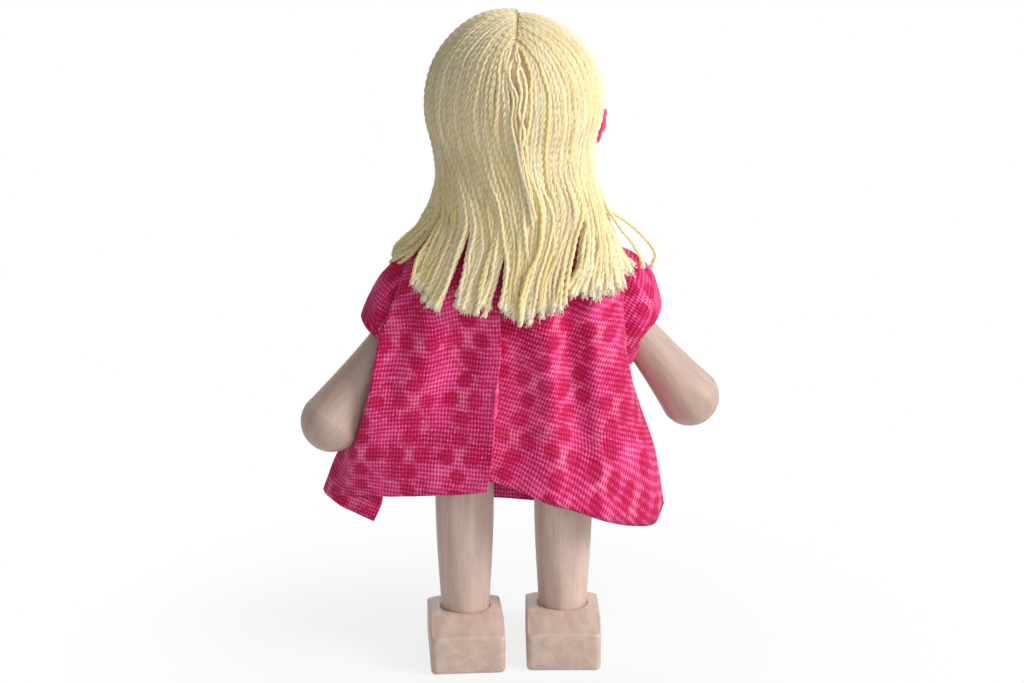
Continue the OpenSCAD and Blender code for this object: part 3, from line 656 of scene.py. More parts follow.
def hang(locks, s, layer, spread):
    """Way down for one yarn, between the two borders of its lock."""
    low = 0
    for high, first, last in locks:
        if s <= high:
            break
        low = high
    f = (s - low) / (high - low)
    path = []
    n = len(first)
    for i, (a, b) in enumerate(zip(first, last)):
        p = np.array(a) * (1 - f) + np.array(b) * f
        p += unit(p * (1, 1, 0)) * (layer - 0.5 + (spread - 0.5) * i / (n - 1))
        if n == len(SHOULDER_SHARES):
            p[2] -= SHOULDER_FILL * spread * SHOULDER_SHARES[i]
        path.append(p)
    return path


def waved(path, amount, seed):
    """The path with the slow sideways waves of a laid yarn."""
    out = path.copy()
    for i, (p, a) in enumerate(zip(path, lengths_along(path))):
        flat = Vector((p[0], p[1], 0)).normalized()
        sway = noise.noise(Vector((a * 0.16, seed, 0))) * amount
        sway += noise.noise(Vector((a * 0.45, seed, 9))) * amount * 0.4
        out[i, 0] -= flat.y * sway
        out[i, 1] += flat.x * sway
    return out


def comb(strands, locks, side):
    """Lays one side's yarns: the inmost layer and the under yarns in strands[0], the rest in strands[1]."""
    for level, (layer, count, gap, sway, wave) in enumerate(LAYERS):
        for k in range(count):
            s = (k + 0.5 + rng.uniform(-0.25, 0.25)) / count
            arc = head_arc(side, s, INNER_R + layer + rng.uniform(-0.06, 0.06), rng.uniform(-sway, sway))
            fall = hang(locks, s, layer, rng.random())
            fall[-1] += (rng.uniform(-0.5, 0.5), rng.uniform(-0.2, 0.2), rng.uniform(-0.8, 0.9))
            for p in fall[1:-1]:
                p += (rng.uniform(-0.4, 0.4), rng.uniform(-0.12, 0.12), 0)
            path = waved(curve_points(np.vstack([arc, fall]), HANG_STEPS), wave, k + 40 * level + side)
            tone = min(1, max(0, rng.gauss(0.5, 0.24)))
            radius = YARN_R * rng.uniform(0.88, 1.06)
            group = strands[min(level, 1)]
            group.lay(path, radius, tone, rng.uniform(0, 2 * pi), gap=gap)
            group.fray(path, radius, tone)
    for k in range(UNDER_COUNT):
        s = (k + 0.5) / UNDER_COUNT * UNDER_SHARE
        arc = head_arc(side, s, INNER_R - 0.1, 0)[-3:]
        fall = [p - (side * (1 - s) ** 6, 0, 0) for p in hang(locks, s, -UNDER_DEPTH, 0.5)]
        fall[-1] += (rng.uniform(-0.4, 0.4), 0, rng.uniform(0.2, 1.6))
        path = waved(curve_points(np.vstack([arc, fall]), HANG_STEPS), 0.3, k + 150 + side)
        tone = rng.uniform(0.2, 0.6)
        strands[0].lay(path, YARN_R, tone, rng.uniform(0, 2 * pi), UNDER_SIDES, UNDER_GAP)


# Loose yarns that cross the bare parting and stand off the right shoulder
LOOSE = [
    [(0.5, 8.9, 96.3), (0.5, 10.2, 95), (1.5, 11.3, 93.4), (1.6, 12.2, 91.6), (0.6, 12.9, 89.2),
     (0.9, 13.1, 86.4), (0.2, 12.9, 83), (-0.6, 12.6, 79), (-1.6, 12.5, 74), (-1.9, 11.6, 71)],
    [(0.3, 9.2, 96.1), (0.7, 10.7, 94.5), (-0.2, 11.8, 92.6), (-0.7, 12.6, 90.2), (-0.4, 13.1, 87.6),
     (0.2, 13.2, 84.8), (0.1, 12.9, 82), (-0.4, 12.6, 78), (-1.2, 12.6, 73.4), (-1.4, 11.6, 71)],
    [(0.9, 9.3, 95.9), (0.2, 10.9, 94.3), (0.5, 12, 92.4), (0, 12.8, 89.8), (0.4, 13.2, 87.2),
     (-0.4, 13.1, 84.2), (0.4, 12.6, 80.4), (-0.3, 12.6, 77), (-1.5, 12.5, 72), (-1.7, 11.5, 70)],
    [(1.9, 9.4, 95.6), (2.2, 10.9, 93.9), (1.7, 12.2, 91.4), (1.1, 12.9, 88.8), (1.4, 13.1, 85.8),
     (0.7, 12.9, 82.4), (-0.1, 12.7, 78.4), (-1.8, 12.5, 73), (-2.1, 11.5, 71)],
    [(-11.6, 2.4, 77), (-12.3, 3.2, 74), (-13.5, 3.2, 71.4), (-16.5, 2.8, 69.1), (-18.9, 2.4, 66.9),
     (-20.9, 2, 63.9), (-20.3, 2, 62)],
    [(-11.6, 3.4, 76), (-13, 4.2, 72.2), (-15.4, 4, 68.4), (-17.4, 3.6, 65.8), (-18.7, 3.4, 63.2),
     (-18.9, 3.4, 62.2)],
]
LOOSE_STEPS = 12
LOOSE_R = YARN_R * 0.86


def add_hair(material):
    for side, locks, word in ((1, LEFT_LOCKS, "left"), (-1, RIGHT_LOCKS, "right")):
        strands = [Strands(), Strands()]
        comb(strands, locks, side)
        if side < 0:
            for path in LOOSE:
                curve = curve_points(path, LOOSE_STEPS)
                strands[1].lay(curve, LOOSE_R, rng.uniform(0.45, 0.8), rng.uniform(0, 6))
        for group, name, nodes in zip(strands, ("hair_under_", "hair_over_"), ("hair_fall_", "hair_crown_")):
            piece = group.piece(name + word, material)
            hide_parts(nodes + word)
            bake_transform(piece)


# Stitches of the parting
SEAM_R = HEAD_R + 0.3
STITCH = 1.5
STITCH_LIFT = 0.16
STITCH_POINTS = 7
SEAM_THREAD_R = 0.13
SEAM_TONE = 0.1


def add_seam(material):
    """Stitches along the parting: one thread that dips at each needle hole."""
    strands = Strands()
    count = int(radians(SEAM_BACK - SEAM_FRONT) * SEAM_R / STITCH)
    for k in range(count):
        stitch = []
        for t in np.linspace(0.04, 0.96, STITCH_POINTS):
            degrees = seam_degrees((k + t) / count)
            a = radians(degrees)
            r = SEAM_R + STITCH_LIFT * sin(pi * t)
            r += np.interp(abs(a), SWELL_ANGLES, LEFT_SWELL) * 0.6
            stitch.append((seam_x(degrees), r * sin(a), HEAD_Z + r * cos(a)))
        strands.lay(np.array(stitch), SEAM_THREAD_R, SEAM_TONE, k)
    piece = strands.piece("seam_stitches", material)
    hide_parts("hair_seam")
    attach(piece, "head")


# Felt flower: its rings and steps round, and half the thickness of the felt
flower_low, flower_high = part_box("flower_petals")
FLOWER_CENTRE = (flower_low + flower_high) / 2 / MM + Vector((1.45, 0.5, 0.25))
FLOWER_R = 1.07 * (flower_high.z - flower_low.z) / 2 / MM
FLOWER_TILT = radians(16)
FLOWER_RINGS = 9
FLOWER_STEPS = 60
PETALS = 5
FELT_HALF = 0.6
BUTTON_R = 0.95
BUTTON_FLAT = 0.62
BUTTON_LIFT = 0.56


def add_flower(petal_felt, centre_felt):
    outward = Vector((-1, 0, -tan(FLOWER_TILT))).normalized()
    sideways = Vector((0, 0, 1)).cross(outward).normalized()
    lengthwise = outward.cross(sideways)
    points = []
    for face in (1, -1):
        for i in range(FLOWER_RINGS + 1):
            q = i / FLOWER_RINGS
            cup = 0.5 * q * q - 0.25
            thick = FELT_HALF * sqrt(max(0, 1 - q ** 6))
            for j in range(FLOWER_STEPS):
                a = 2 * pi * j / FLOWER_STEPS
                petal = abs(cos(PETALS * a / 2))
                r = FLOWER_R * (0.8 + 0.2 * petal ** 0.6) * q
                lift = cup - 0.12 * (1 - petal) * q + face * thick
                spoke = lengthwise * (r * cos(a)) + sideways * (r * sin(a))
                points.append(tuple(FLOWER_CENTRE + outward * lift + spoke))
    quads = grid_faces(FLOWER_RINGS + 1, FLOWER_STEPS, closed=True)
    faces = np.vstack([quads[:, [1, 2, 3, 0]], quads[:, [0, 3, 2, 1]] + len(points) // 2])
    petals = new_piece("flower_petals_felt", points, faces, petal_felt)
    weld(petals, 0.02)
    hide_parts("flower_petals")
    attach(petals, "head")
    ball = bmesh.new()
    bmesh.ops.create_uvsphere(ball, u_segments=24, v_segments=14, radius=BUTTON_R * MM)
    for v in ball.verts:
        v.co.z *= BUTTON_FLAT
        v.co += v.co.normalized() * 0.05 * MM * noise.noise(v.co * 900)
    mesh = bpy.data.meshes.new("flower_button")
    ball.to_mesh(mesh)
    ball.free()
    button = link_piece("flower_button", mesh, centre_felt)
    turn = outward.to_track_quat("Z", "Y").to_matrix().to_4x4()
    mesh.transform(Matrix.Translation((FLOWER_CENTRE + outward * BUTTON_LIFT) * MM) @ turn)
    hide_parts("flower_centre")
    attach(button, "head")


# Dress
def level(height, *points):
    """Row of points at one height; a point with a height of its own keeps that."""
    return [(*point, height)[:3] for point in points]


# Each row of a panel goes from its left seam to its right one, and the rows run down
BACK_ROWS = [
    level(67.8, (4.6, 0.3, 68.2), (4.4, 1.5, 68.1), (4.1, 2.4, 68), (3.6, 3.2, 67.9), (2.9, 3.9, 67.9),
        (2.1, 4.3), (1.3, 4.6), (0.7, 4.7), (0.2, 4.7), (-0.5, 4.7), (-1.4, 4.6), (-2.2, 4.3),
        (-3, 3.8, 67.9), (-3.7, 3, 68), (-4.3, 1.8, 68.1), (-4.6, 0.3, 68.2)),
    level(65, (14.2, 0.3, 65.6), (14.7, 1.6, 65.2), (14.8, 3, 64.9), (13, 4.9, 64.9), (10.6, 6.5),
        (7.6, 7.6), (4.8, 8.2, 65.1), (2.6, 8.5, 65.1), (1.4, 8.3, 65.1), (-0.9, 8.4), (-4.2, 8.2),
        (-7.2, 7.5), (-9.8, 6.6, 64.9), (-12.2, 5, 64.9), (-13.8, 2.8), (-14.2, 0.3, 65.5)),
    level(61, (16.2, 3.2, 61.6), (16.9, 4.2, 61.2), (17.2, 5.2), (15.2, 6.4), (12.4, 7.7), (9, 8.6),
        (5.6, 9.1), (2.8, 9.5), (1.5, 9.1), (-1.2, 9.1), (-5, 9), (-8.6, 8.5), (-11.4, 7.8), (-13.8, 6.6),
        (-15.4, 5.3), (-16.2, 4, 61.1)),
    level(57, (17.4, 4.7, 57.2), (18.3, 5.4), (18.9, 6.5), (16.2, 7.3), (12.4, 9.2), (8.6, 8.8),
        (4.2, 10.3), (2.9, 10.6), (3.4, 8.6), (-0.4, 8.8), (-4.2, 10.1), (-7.4, 8.1), (-10.8, 9.1),
        (-14.2, 7.1), (-15.4, 5.9), (-15.9, 4.7, 57.2)),
    level(52, (18.1, 5.5), (19.2, 6.4), (20.7, 7.8), (17.8, 8.1), (13.2, 9.9), (9, 9.2), (4.1, 10.8),
        (2.7, 11.1), (3.5, 8.5), (-0.2, 8.8), (-4.4, 10.5), (-7.6, 8), (-10.8, 9.5), (-14.8, 7.2),
        (-15.9, 5.6, 51.8), (-16.5, 4.2, 51.2)),
    level(46.6, (17.3, 0.3, 46), (17.9, 4.8, 46.2), (21.8, 8.6), (18.9, 8.9), (14, 10), (9.6, 9.5),
        (4.7, 11.1), (3.3, 11.5), (4.2, 8.5), (0, 8.9), (-4.6, 10.7), (-8.1, 8.1, 46.4), (-11.4, 9.6, 46.2),
        (-15.4, 7.4, 46.1), (-17.2, 4.4, 46), (-17.4, 0.3, 46)),
    level(42, (20.6, 0.2, 41.5), (19.9, 4.6, 41.6), (22.9, 8.6), (20.6, 9.4), (16.4, 9.5), (11, 9.8),
        (5, 11.2), (3.6, 11.6), (4.5, 8.6), (0.2, 9), (-4.8, 10.8), (-8.5, 8.4, 41.6), (-12, 9.3, 41.2),
        (-15.8, 7.2, 40.8), (-18.2, 4, 40.4), (-19.2, 0.1, 40.2)),
    level(36, (26.4, -0.6, 34.2), (25.2, 2.6, 34.8), (24.6, 6.6, 35.4), (22, 8.2, 35.8), (17.6, 9),
        (11.6, 9.8), (5.6, 11.1), (4.1, 11.5), (5.1, 8.9), (0.4, 9.3), (-5, 10.6, 35.5), (-9, 9, 34.8),
        (-12.6, 8.8, 34), (-16.6, 6.4, 33.2), (-20.1, 3, 32.8), (-21.7, -0.4, 33)),
    [(29.2, -1, 27.3), (27.9, 1.2, 27.4), (26.2, 3.2, 27.8), (23.6, 5.4, 28.5), (19, 7.6, 29),
     (12.4, 9.7, 29.7), (6.4, 10.9, 30.3), (4.8, 11.3, 30.7), (5.6, 8.9, 31.6), (1.8, 9.2, 30.7),
     (-4.2, 10, 28), (-8.6, 9.1, 26.3), (-13.2, 7.5, 24), (-17.9, 4.3, 21.9), (-21.9, 1, 21),
     (-23.5, -1.2, 23.4)],
]
FRONT_ROWS = [
    [(4.6, 0.1, 68.2), (4.1, -1.9, 68), (3, -3.4, 67.7), (1.5, -4.4, 67.5), (0, -4.7, 67.4),
     (-1.5, -4.4, 67.5), (-3, -3.4, 67.7), (-4.1, -1.9, 68), (-4.6, 0.1, 68.2)],
    level(64.8, (14.2, 0.1, 65.6), (13.6, -2.9, 64.9), (10.4, -6), (5.8, -7.6), (0, -8), (-5.8, -7.6),
        (-10.4, -6), (-13.6, -2.9, 64.9), (-14.2, 0.1, 65.5)),
    level(61, (15.2, -3.6, 61.3), (14.2, -5.3), (10.8, -7.6), (5.9, -8.7), (0, -8.9), (-5.9, -8.8),
        (-10.8, -7.6), (-14.2, -5.3), (-15.2, -3.6, 61.2)),
    level(57, (15.6, -5), (14.6, -6.6), (11.2, -8.6), (6.1, -9.3), (0.1, -9.6), (-6.1, -9.3), (-11.2, -8.7),
        (-14.7, -6.7), (-15.7, -5.2)),
    level(52, (16.2, -4.8, 51.4), (15.2, -6.8), (11.6, -9), (6.5, -9.6), (0.2, -10.2), (-6, -9.8),
        (-11.5, -9.5), (-15.2, -7.2), (-16.4, -5.2, 51.2)),
    level(46.6, (17.3, 0.1, 46), (16.4, -5.4, 46.4), (12.4, -9.2), (7.1, -9.8), (0.4, -10.8), (-5.8, -10),
        (-12, -10), (-16.4, -5.9, 46.4), (-17.4, 0.1, 46)),
    level(41, (20.6, 0, 41.5), (19.2, -5, 41.2), (13.9, -9.5), (8.1, -10), (0.8, -11.2), (-5.7, -10.1),
        (-12.4, -10.4), (-17.8, -5.5, 40.6), (-19.2, -0.1, 40.2)),
    [(26.4, -0.8, 34.2), (23.6, -5.2, 33.6), (16.6, -10, 33), (9.6, -10.3, 32.6), (1.4, -12, 32.4),
     (-5.8, -10.6, 32.4), (-13.4, -11, 32.4), (-20, -6, 32.6), (-21.7, -0.6, 33)],
    [(29.2, -1.2, 27.3), (25.6, -4.6, 25.4), (18.4, -9.6, 23.8), (10.8, -10.6, 22.4), (1.9, -12.2, 21.2),
     (-5.8, -10.8, 20.9), (-14.2, -11.2, 21), (-21.2, -6, 21.6), (-23.5, -1.4, 23.4)],
]
SPAN_STEPS = 8
CLOTH_T = 0.42
# Rows of the grid over which the wrinkles begin
WRINKLE_ROWS = 12
# Slope of the weave left of the main fold, and where a crossing of the print lies left and right of it
LEFT_SHEAR = 0.18
BACK_PRINT = ((4.9, 4.2), (2.06, 8.95))
FRONT_PRINT = ((2, 3), (2, 3))


def cloth_grid(rows, closed=False):
    """Dense grid of points through the points of the rows; closed rows are rings."""
    if closed:
        dense = [curve_points(row[-2:] + row + row[:3], SPAN_STEPS) for row in rows]
        dense = [row[2 * SPAN_STEPS : -2 * SPAN_STEPS - 1] for row in dense]
    else:
        dense = [curve_points(row, SPAN_STEPS) for row in rows]
    return np.stack([curve_points(column, SPAN_STEPS) for column in zip(*dense)], 1)


def add_cloth(name, grid, u, v, material, outward, closed=False):
    """Sheet through a grid, with its places u and v in flat cloth. outward(point) is where its face looks."""
    cloth = np.stack([u, v, 0 * u], -1).reshape(-1, 3)
    quads = grid_faces(*grid.shape[:2], closed)
    piece = new_piece(name, grid.reshape(-1, 3), quads, material, {"cloth": cloth})
    b = bmesh.new()
    b.from_mesh(piece.data)
    if sum(f.normal.dot(outward(f.calc_center_median())) * f.calc_area() for f in b.faces) < 0:
        bmesh.ops.reverse_faces(b, faces=b.faces)
    b.to_mesh(piece.data)
    b.free()
    solid = piece.modifiers.new("thickness", "SOLIDIFY")
    solid.thickness = CLOTH_T * MM
    solid.offset = -1
    graph = bpy.context.evaluated_depsgraph_get()
    mesh = bpy.data.meshes.new_from_object(piece.evaluated_get(graph), depsgraph=graph)
    piece.modifiers.clear()
    piece.data = mesh
    mesh.shade_smooth()
    return piece


def from_body(point):
    """Direction away from the doll's broad upright body."""
    return Vector((0.3 * point.x, point.y, 0))


def crumple(point, *scales):
    return noise.fractal(Vector(point * scales), 0.9, 2.1, 3)


def add_panel(name, rows, pivot_column, turn, origins, wrinkle, material):
    """A dress panel. The weave right of the pivot column is turned by the angle turn."""
    grid = cloth_grid(rows)
    nv, nu = grid.shape[:2]
    normal = np.cross(np.gradient(grid, axis=1), np.gradient(grid, axis=0))
    normal /= np.linalg.norm(normal, axis=2)[..., None] + 1e-9
    fade = np.sin(np.linspace(0, pi, nu)) ** 0.5
    for j in range(nv):
        for i in range(nu):
            fine = noise.noise(Vector(grid[j, i] * (0.9, 0.9, 0.5)))
            shift = wrinkle * crumple(grid[j, i], 0.22, 0.22, 0.11) + 0.05 * fine
            grid[j, i] += normal[j, i] * shift * fade[i] * min(1, j / WRINKLE_ROWS)
    pivot = pivot_column * SPAN_STEPS
    along = lengths_along(grid, 1)
    along = along[:, [pivot]] - along
    down = lengths_along(grid)
    column = np.arange(nu)
    share = np.clip((column - pivot) / SPAN_STEPS, 0, 1)
    rise = np.where(column < pivot, down - down[-1] + LEFT_SHEAR * along, down[:, [pivot]] - down[-1, pivot])
    u, v = spun(along, rise, turn * share)
    (left_u, left_v), (right_u, right_v) = origins
    u -= left_u * (1 - share) + right_u * share
    v -= left_v * (1 - share) + right_v * share
    return add_cloth(name, grid, u, v, material, from_body)


def add_dress(material):
    back = add_panel("dress_back_cloth", BACK_ROWS, 7, radians(14.5), BACK_PRINT, 0.28, material)
    front = add_panel("dress_front_cloth", FRONT_ROWS, 4, 0, FRONT_PRINT, 0.35, material)
    for piece, node in ((back, "dress_back"), (front, "dress_front")):
        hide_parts(node)
        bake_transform(piece)


# Sleeves: rings of points from the armhole to the sleeve's edge. Each ring starts at the top and passes
# behind the arm, below it and in front of it
LEFT_SLEEVE = [
    [(13.4, 0.2, 65.6), (15.6, 3, 61.6), (16.8, 4.4, 57), (17.2, 4.9, 51.8), (16.6, 3.2, 47.4),
     (16.6, 0.1, 46.3), (16.2, -3, 47.6), (15.9, -4.7, 51.4), (15.3, -4.8, 57), (14.9, -3.4, 61.5)],
    [(17, 0.6, 63.9), (17.9, 3.8, 60.6), (18.8, 5.3, 56.8), (18.7, 5.4, 52.4), (18, 4.2, 48.4),
     (17.7, 0.8, 46.8), (17.9, -2.4, 47.6), (18.2, -4, 51.2), (18.3, -3.9, 55.8), (18, -2.4, 60.4)],
    [(19.8, 1.2, 61.5), (20.4, 3.8, 59.2), (20.4, 5.6, 56.2), (19.7, 5.7, 52.4), (18.8, 4.6, 49.2),
     (18.2, 1.4, 47.2), (18.8, -1.8, 47.8), (20, -3.2, 50.6), (20.9, -2.8, 54.4), (20.7, -1, 58.6)],
    [(22.4, 2, 56.9), (22.2, 3.8, 56.1), (21.3, 5, 54.9), (20, 5.3, 53.6), (18.8, 4.6, 51.9),
     (17.8, 2.1, 50.3), (18.1, -0.6, 49.8), (19.6, -1.9, 50.8), (21.2, -1.6, 53.2), (22.3, 0, 55.9)],
    [(22.9, 2.2, 55.6), (22.6, 3.9, 55), (21.8, 4.9, 53.9), (20.6, 5.2, 52.8), (19.4, 4.6, 51.2),
     (18.4, 2.3, 49.5), (18.6, -0.2, 48.9), (19.9, -1.5, 49.7), (21.6, -1.3, 52), (22.7, 0.2, 54.6)],
]
RIGHT_SLEEVE = [
    [(-13.4, 0.2, 65.6), (-15.2, 3.4, 61.4), (-15.6, 4.6, 57), (-16, 4.4, 51.6), (-16.6, 2.2, 47.4),
     (-16.7, 0.1, 46.3), (-16.4, -3.4, 47.4), (-16.2, -5.1, 51.4), (-15.5, -5.1, 57), (-14.9, -3.5, 61.4)],
    [(-17.6, -0.2, 64), (-18, 3.9, 60.6), (-17.8, 5, 56.8), (-17.6, 4.6, 52.2), (-17.8, 2, 48),
     (-17.9, -0.6, 46.4), (-18.2, -4, 47.2), (-18.6, -5.7, 51), (-18.7, -5.7, 55.8), (-18.3, -3.8, 60.8)],
    [(-20.6, -0.6, 61.1), (-20.6, 2.8, 58.8), (-19.9, 4.4, 56.2), (-18.9, 4.1, 52.6), (-18.5, 1.7, 49),
     (-18.6, -1.4, 47.2), (-19.3, -4.6, 47.6), (-20.4, -6.2, 50.6), (-21.3, -5.8, 54.6),
     (-21.2, -3.8, 58.8)],
    [(-22, -0.9, 57.6), (-21.6, 1.5, 56.7), (-20.6, 2.9, 55.1), (-19.4, 3.2, 53.6), (-18.4, 1.8, 51.5),
     (-18, -0.8, 49.8), (-18.5, -3.7, 49.2), (-19.9, -5.4, 50.4), (-21.3, -5.3, 53), (-22.1, -3.6, 56)],
    [(-22.4, -1, 56), (-22, 1.2, 55.2), (-21.1, 2.6, 53.9), (-19.9, 3, 52.6), (-18.9, 1.6, 50.7),
     (-18.5, -0.8, 49), (-19, -3.5, 48.5), (-20.3, -5.1, 49.3), (-21.6, -5.1, 51.8), (-22.5, -3.5, 54.6)],
]
# Points of a ring where the weave meets itself and where its print starts
SLEEVE_JOIN = 5
SLEEVE_BACK = 2
SLEEVE_PRINT = (3, 6)
SLEEVE_WRINKLE = 0.15


def add_sleeve(word, rings, lean, material):
    """A sleeve whose weave leans against the ring round the arm."""
    node, arm = word + "_sleeve", word + "_arm"
    grid = cloth_grid(rings, closed=True)
    nv, nu = grid.shape[:2]
    out = unit(grid - grid.mean(axis=1)[:, None])
    for j in range(nv):
        for i in range(nu):
            shift = SLEEVE_WRINKLE * crumple(grid[j, i], 0.35, 0.35, 0.3)
            grid[j, i] += out[j, i] * shift * sin(pi * j / (nv - 1))
    order = (np.arange(nu) + SLEEVE_JOIN * SPAN_STEPS) % nu
    laid = lengths_along(grid[:, order], 1)
    laid -= laid[:, [nu + (SLEEVE_BACK - SLEEVE_JOIN) * SPAN_STEPS]]
    along = np.empty((nv, nu))
    along[:, order] = laid
    down = lengths_along(grid)
    u, v = spun(along, down, lean)
    u += SLEEVE_PRINT[0]
    v += SLEEVE_PRINT[1]
    middle = Vector(grid.mean(axis=(0, 1))) * MM
    piece = add_cloth(node + "_cloth", grid, u, v, material, lambda point: point - middle, closed=True)
    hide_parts(node)
    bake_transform(piece)


FLAP_ROWS = [
    [(26.9, -0.8, 32), (24.8, 0.6, 31.2), (22.4, 2, 30.6), (20.5, 3, 29.8)],
    [(28.5, -0.9, 29.2), (25.8, 0.6, 28.3), (23.2, 1.7, 27.6), (20.3, 2.4, 26.4)],
    [(29.1, -1.1, 27.1), (26.8, 0, 26.1), (24.2, 0.8, 25.2), (20.8, 1.5, 24.4)],
    [(28.6, -1.2, 26.2), (26.7, -0.2, 24.9), (24.4, 0.5, 23.9), (21.6, 1, 22.6)],
]
FLAP_SHEAR = 0.4


def add_flap(material):
    """Turned seam allowance that hangs from the left corner of the hem."""
    grid = cloth_grid(FLAP_ROWS)
    x, z = grid[..., 0], grid[..., 2]
    u, v = x + FLAP_SHEAR * z, z - FLAP_SHEAR * x
    piece = add_cloth("hem_corner_cloth", grid, u, v, material, from_body)
    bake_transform(piece)


# Feet: heights of the top along Y, toe first, and the plan outline of the sole
FOOT_TOP_Y = (-12.6, -12.1, -10.7, -6.4, -4.1, 0, 4.1, 5.6, 7.8, 8.4)
FOOT_TOP_Z = (2.5, 3.9, 4.9, 6.95, 7.65, 8.1, 8.25, 7.5, 6.3, 6.1)
FOOT_HALF_W = 5.7
TOE_L = 12.6
HEEL_L = 8.4
TOE_R = 5.1
HEEL_R = 0.9
LEG_X = 7.6
OUTLINE_POINTS = 220
# Drop of the top at the foot's sides, from this far off its middle
SIDE_DROP = 0.55
SIDE_START = 2.4
# Rounding of the edges, and the leg's seat: its radius, then how far past it its rim lies, and how deep
EDGE_R = 0.55
EDGE_ANGLES = np.radians((30, 60, 90))
SEAT_R = 3.78
SEAT_RIM = ((-0.4, -0.45), (0, -0.3), (0.1, -0.12), (0.3, 0))


def foot_top(x, y):
    drop = (max(0, abs(x) - SIDE_START) / (FOOT_HALF_W - SIDE_START)) ** 2.6
    return np.interp(y, FOOT_TOP_Y, FOOT_TOP_Z) - SIDE_DROP * drop


def foot_outline():
    """Even points round the sole, from its left side by way of the heel."""
    points = []
    corners = ((1, 1, HEEL_R, 0), (-1, 1, HEEL_R, 90), (-1, -1, TOE_R, 180), (1, -1, TOE_R, 270))
    for sx, sy, radius, first in corners:
        cx = sx * (FOOT_HALF_W - radius)
        cy = HEEL_L - radius if sy > 0 else radius - TOE_L
        for a in np.radians(np.linspace(first, first + 90, 17)):
            points.append((cx + radius * cos(a), cy + radius * sin(a), 0))
    points.append(points[0])
    return even_points(np.array(points), OUTLINE_POINTS + 1)[:-1]


def add_foot(word, side, turn, material):
    """Sanded foot block: rings from the leg's seat over the top, down the sides and under the sole."""
    node = word + "_foot"
    rings = []
    for x, y, _ in foot_outline():
        far = hypot(x, y)
        ux, uy = x / far, y / far
        rim = SEAT_R + SEAT_RIM[-1][0]
        column = [(SEAT_R + past, drop) for past, drop in SEAT_RIM]
        column += [(rim + (far - EDGE_R - rim) * q, 0) for q in (0.15, 0.3, 0.45, 0.6, 0.75, 0.88, 1)]
        ring = [(r * ux, r * uy, foot_top(r * ux, r * uy) + drop) for r, drop in column]
        edge = ring[-1][2] - EDGE_R
        for a in EDGE_ANGLES:
            r = far - EDGE_R * (1 - sin(a))
            ring.append((r * ux, r * uy, edge + EDGE_R * cos(a)))
        ring += [(x, y, EDGE_R + (edge - EDGE_R) * q) for q in (0.75, 0.5, 0.25, 0)]
        for a in EDGE_ANGLES:
            r = far - EDGE_R * (1 - cos(a))
            ring.append((r * ux, r * uy, EDGE_R * (1 - sin(a))))
        rings.append(ring)
    x, y, z = np.array(rings).T
    x, y = spun(x, y, radians(turn))
    points = np.stack([x + side * LEG_X, y, z], -1).reshape(-1, 3).tolist()
    points += [(side * LEG_X, 0, points[0][2]), (side * LEG_X, 0, 0)]
    piece = new_piece(node + "_sanded", points, tube_faces(*z.shape), material)
    weld(piece, 0.001)
    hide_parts(node)
    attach(piece, word + "_leg")


# Stage and light
WHITE = (1, 1, 1, 1)
FLOOR_HALF = 900
FLOOR_POINTS = 41
# Distances between which the floor turns from its least share of white to all white
FADE_NEAR = 20
FADE_FAR = 75
LEAST_WHITE = 0.8
LAMP_AIM = mm(0, 0, 55)


def add_world():
    world = bpy.data.worlds.new("studio")
    bpy.context.scene.world = world
    world.use_nodes = True
    world.node_tree.nodes.clear()
    g = Graph(world.node_tree)
    soft = g.add("Background", {"Color": (0.96, 0.97, 1, 1), "Strength": 0.22}).outputs[0]
    white = g.add("Background", {"Color": WHITE, "Strength": 1}).outputs[0]
    g.add("OutputWorld", {0: g.mix_shader(g.seen(), soft, white)})


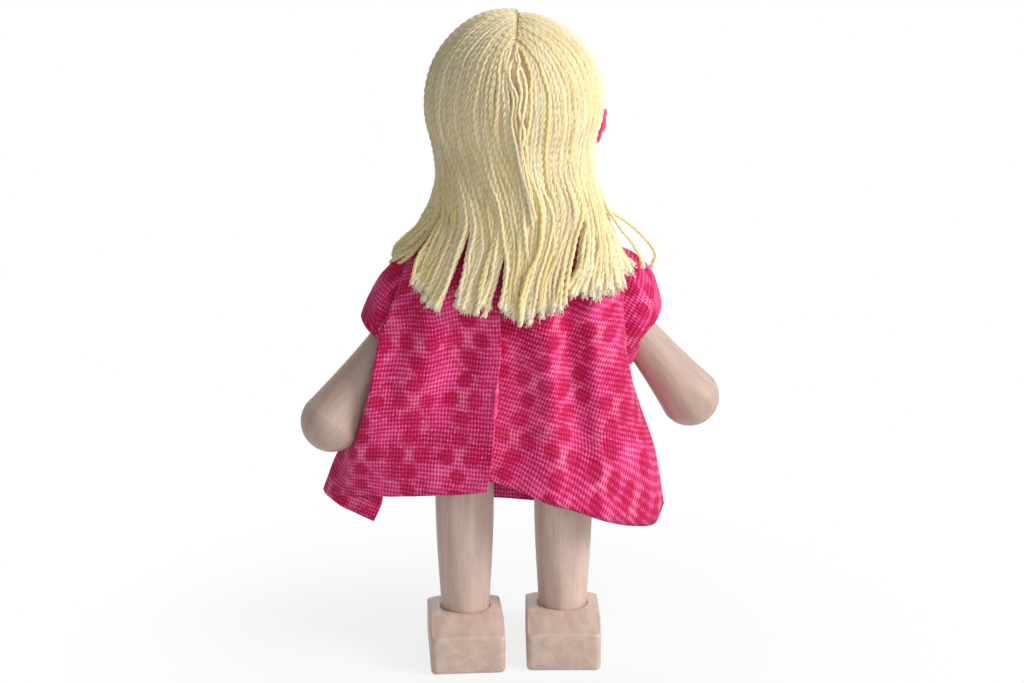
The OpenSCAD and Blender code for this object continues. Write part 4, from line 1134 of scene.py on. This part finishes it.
def add_floor():
    """Pale floor that keeps the doll's soft shadow and fades to white away from it."""
    g = Surface("pale_floor", Base_Color=(0.8, 0.8, 0.8, 1), Roughness=0.9)
    glow = g.add("Emission", {"Color": WHITE, "Strength": 1}).outputs[0]
    far = g.add("VectorMath", {0: g.coordinates()}, operation="LENGTH").outputs["Value"]
    fade = g.step(far, FADE_NEAR * MM, FADE_FAR * MM, LEAST_WHITE)
    mixed = g.mix_shader(g.times(fade, g.seen()), g.shader.outputs[0], glow)
    g.put(g.tree.nodes["Material Output"].inputs[0], mixed)
    steps = np.linspace(-FLOOR_HALF, FLOOR_HALF, FLOOR_POINTS)
    y, x = np.meshgrid(steps, steps, indexing="ij")
    points = np.stack([x, y, 0 * x], -1).reshape(-1, 3)
    floor = new_piece("floor", points, grid_faces(FLOOR_POINTS, FLOOR_POINTS), g.material)


def add_lamp(name, place, size, power, color=(1, 1, 1)):
    data = bpy.data.lights.new(name, "AREA")
    data.size = size * MM
    data.energy = power
    data.color = color
    lamp = new_object(name, data)
    lamp.location = mm(*place)
    lamp.rotation_euler = (LAMP_AIM - lamp.location).to_track_quat("-Z", "Y").to_euler()


add_world()
add_floor()
add_lamp("key", (-360, 170, 300), 200, 2.2, (1, 0.985, 0.96))
add_lamp("fill", (-40, 420, 180), 320, 0.45, (0.98, 0.99, 1))
add_lamp("front", (40, -380, 300), 340, 0.75)

add_hair(yarn())
# The stitching thread's felt is a little darker than the yarn: painted shade of the groove along the parting.
add_seam(felt("seam_thread", "dcc684", "c0a25c"))
add_flower(felt("petal_felt", "e2568f", "c22765"), felt("centre_felt", "f08db4", "d95590"))
dress_cotton = cotton()
add_dress(dress_cotton)
add_sleeve("left", LEFT_SLEEVE, radians(-35), dress_cotton)
add_sleeve("right", RIGHT_SLEEVE, radians(30), dress_cotton)
add_flap(dress_cotton)

paint(head_wood(), "head")
paint(wood("torso_wood", INNER_WOOD), "torso")
paint(wood("dowel_wood", INNER_WOOD, (0, 90, 0)), "neck_peg", "shoulder_dowel", "hip_dowel")
paint(wood("left_arm_wood", ARM_WOOD, (-15, 37, 0), 0.45, 0.6), "left_arm")
paint(wood("right_arm_wood", ARM_WOOD, (14, -37, 0), 0.45, 0.6), "right_arm")
paint(wood("limb_wood", LEG_WOOD, roughness=0.45), "left_leg", "right_leg")
foot_wood = wood("foot_wood", FOOT_WOOD, (90, 0, 0), 0.5, 0.8)
add_foot("left", 1, 0, foot_wood)
add_foot("right", -1, -4, foot_wood)

bpy.context.scene.view_settings.view_transform = "Standard"
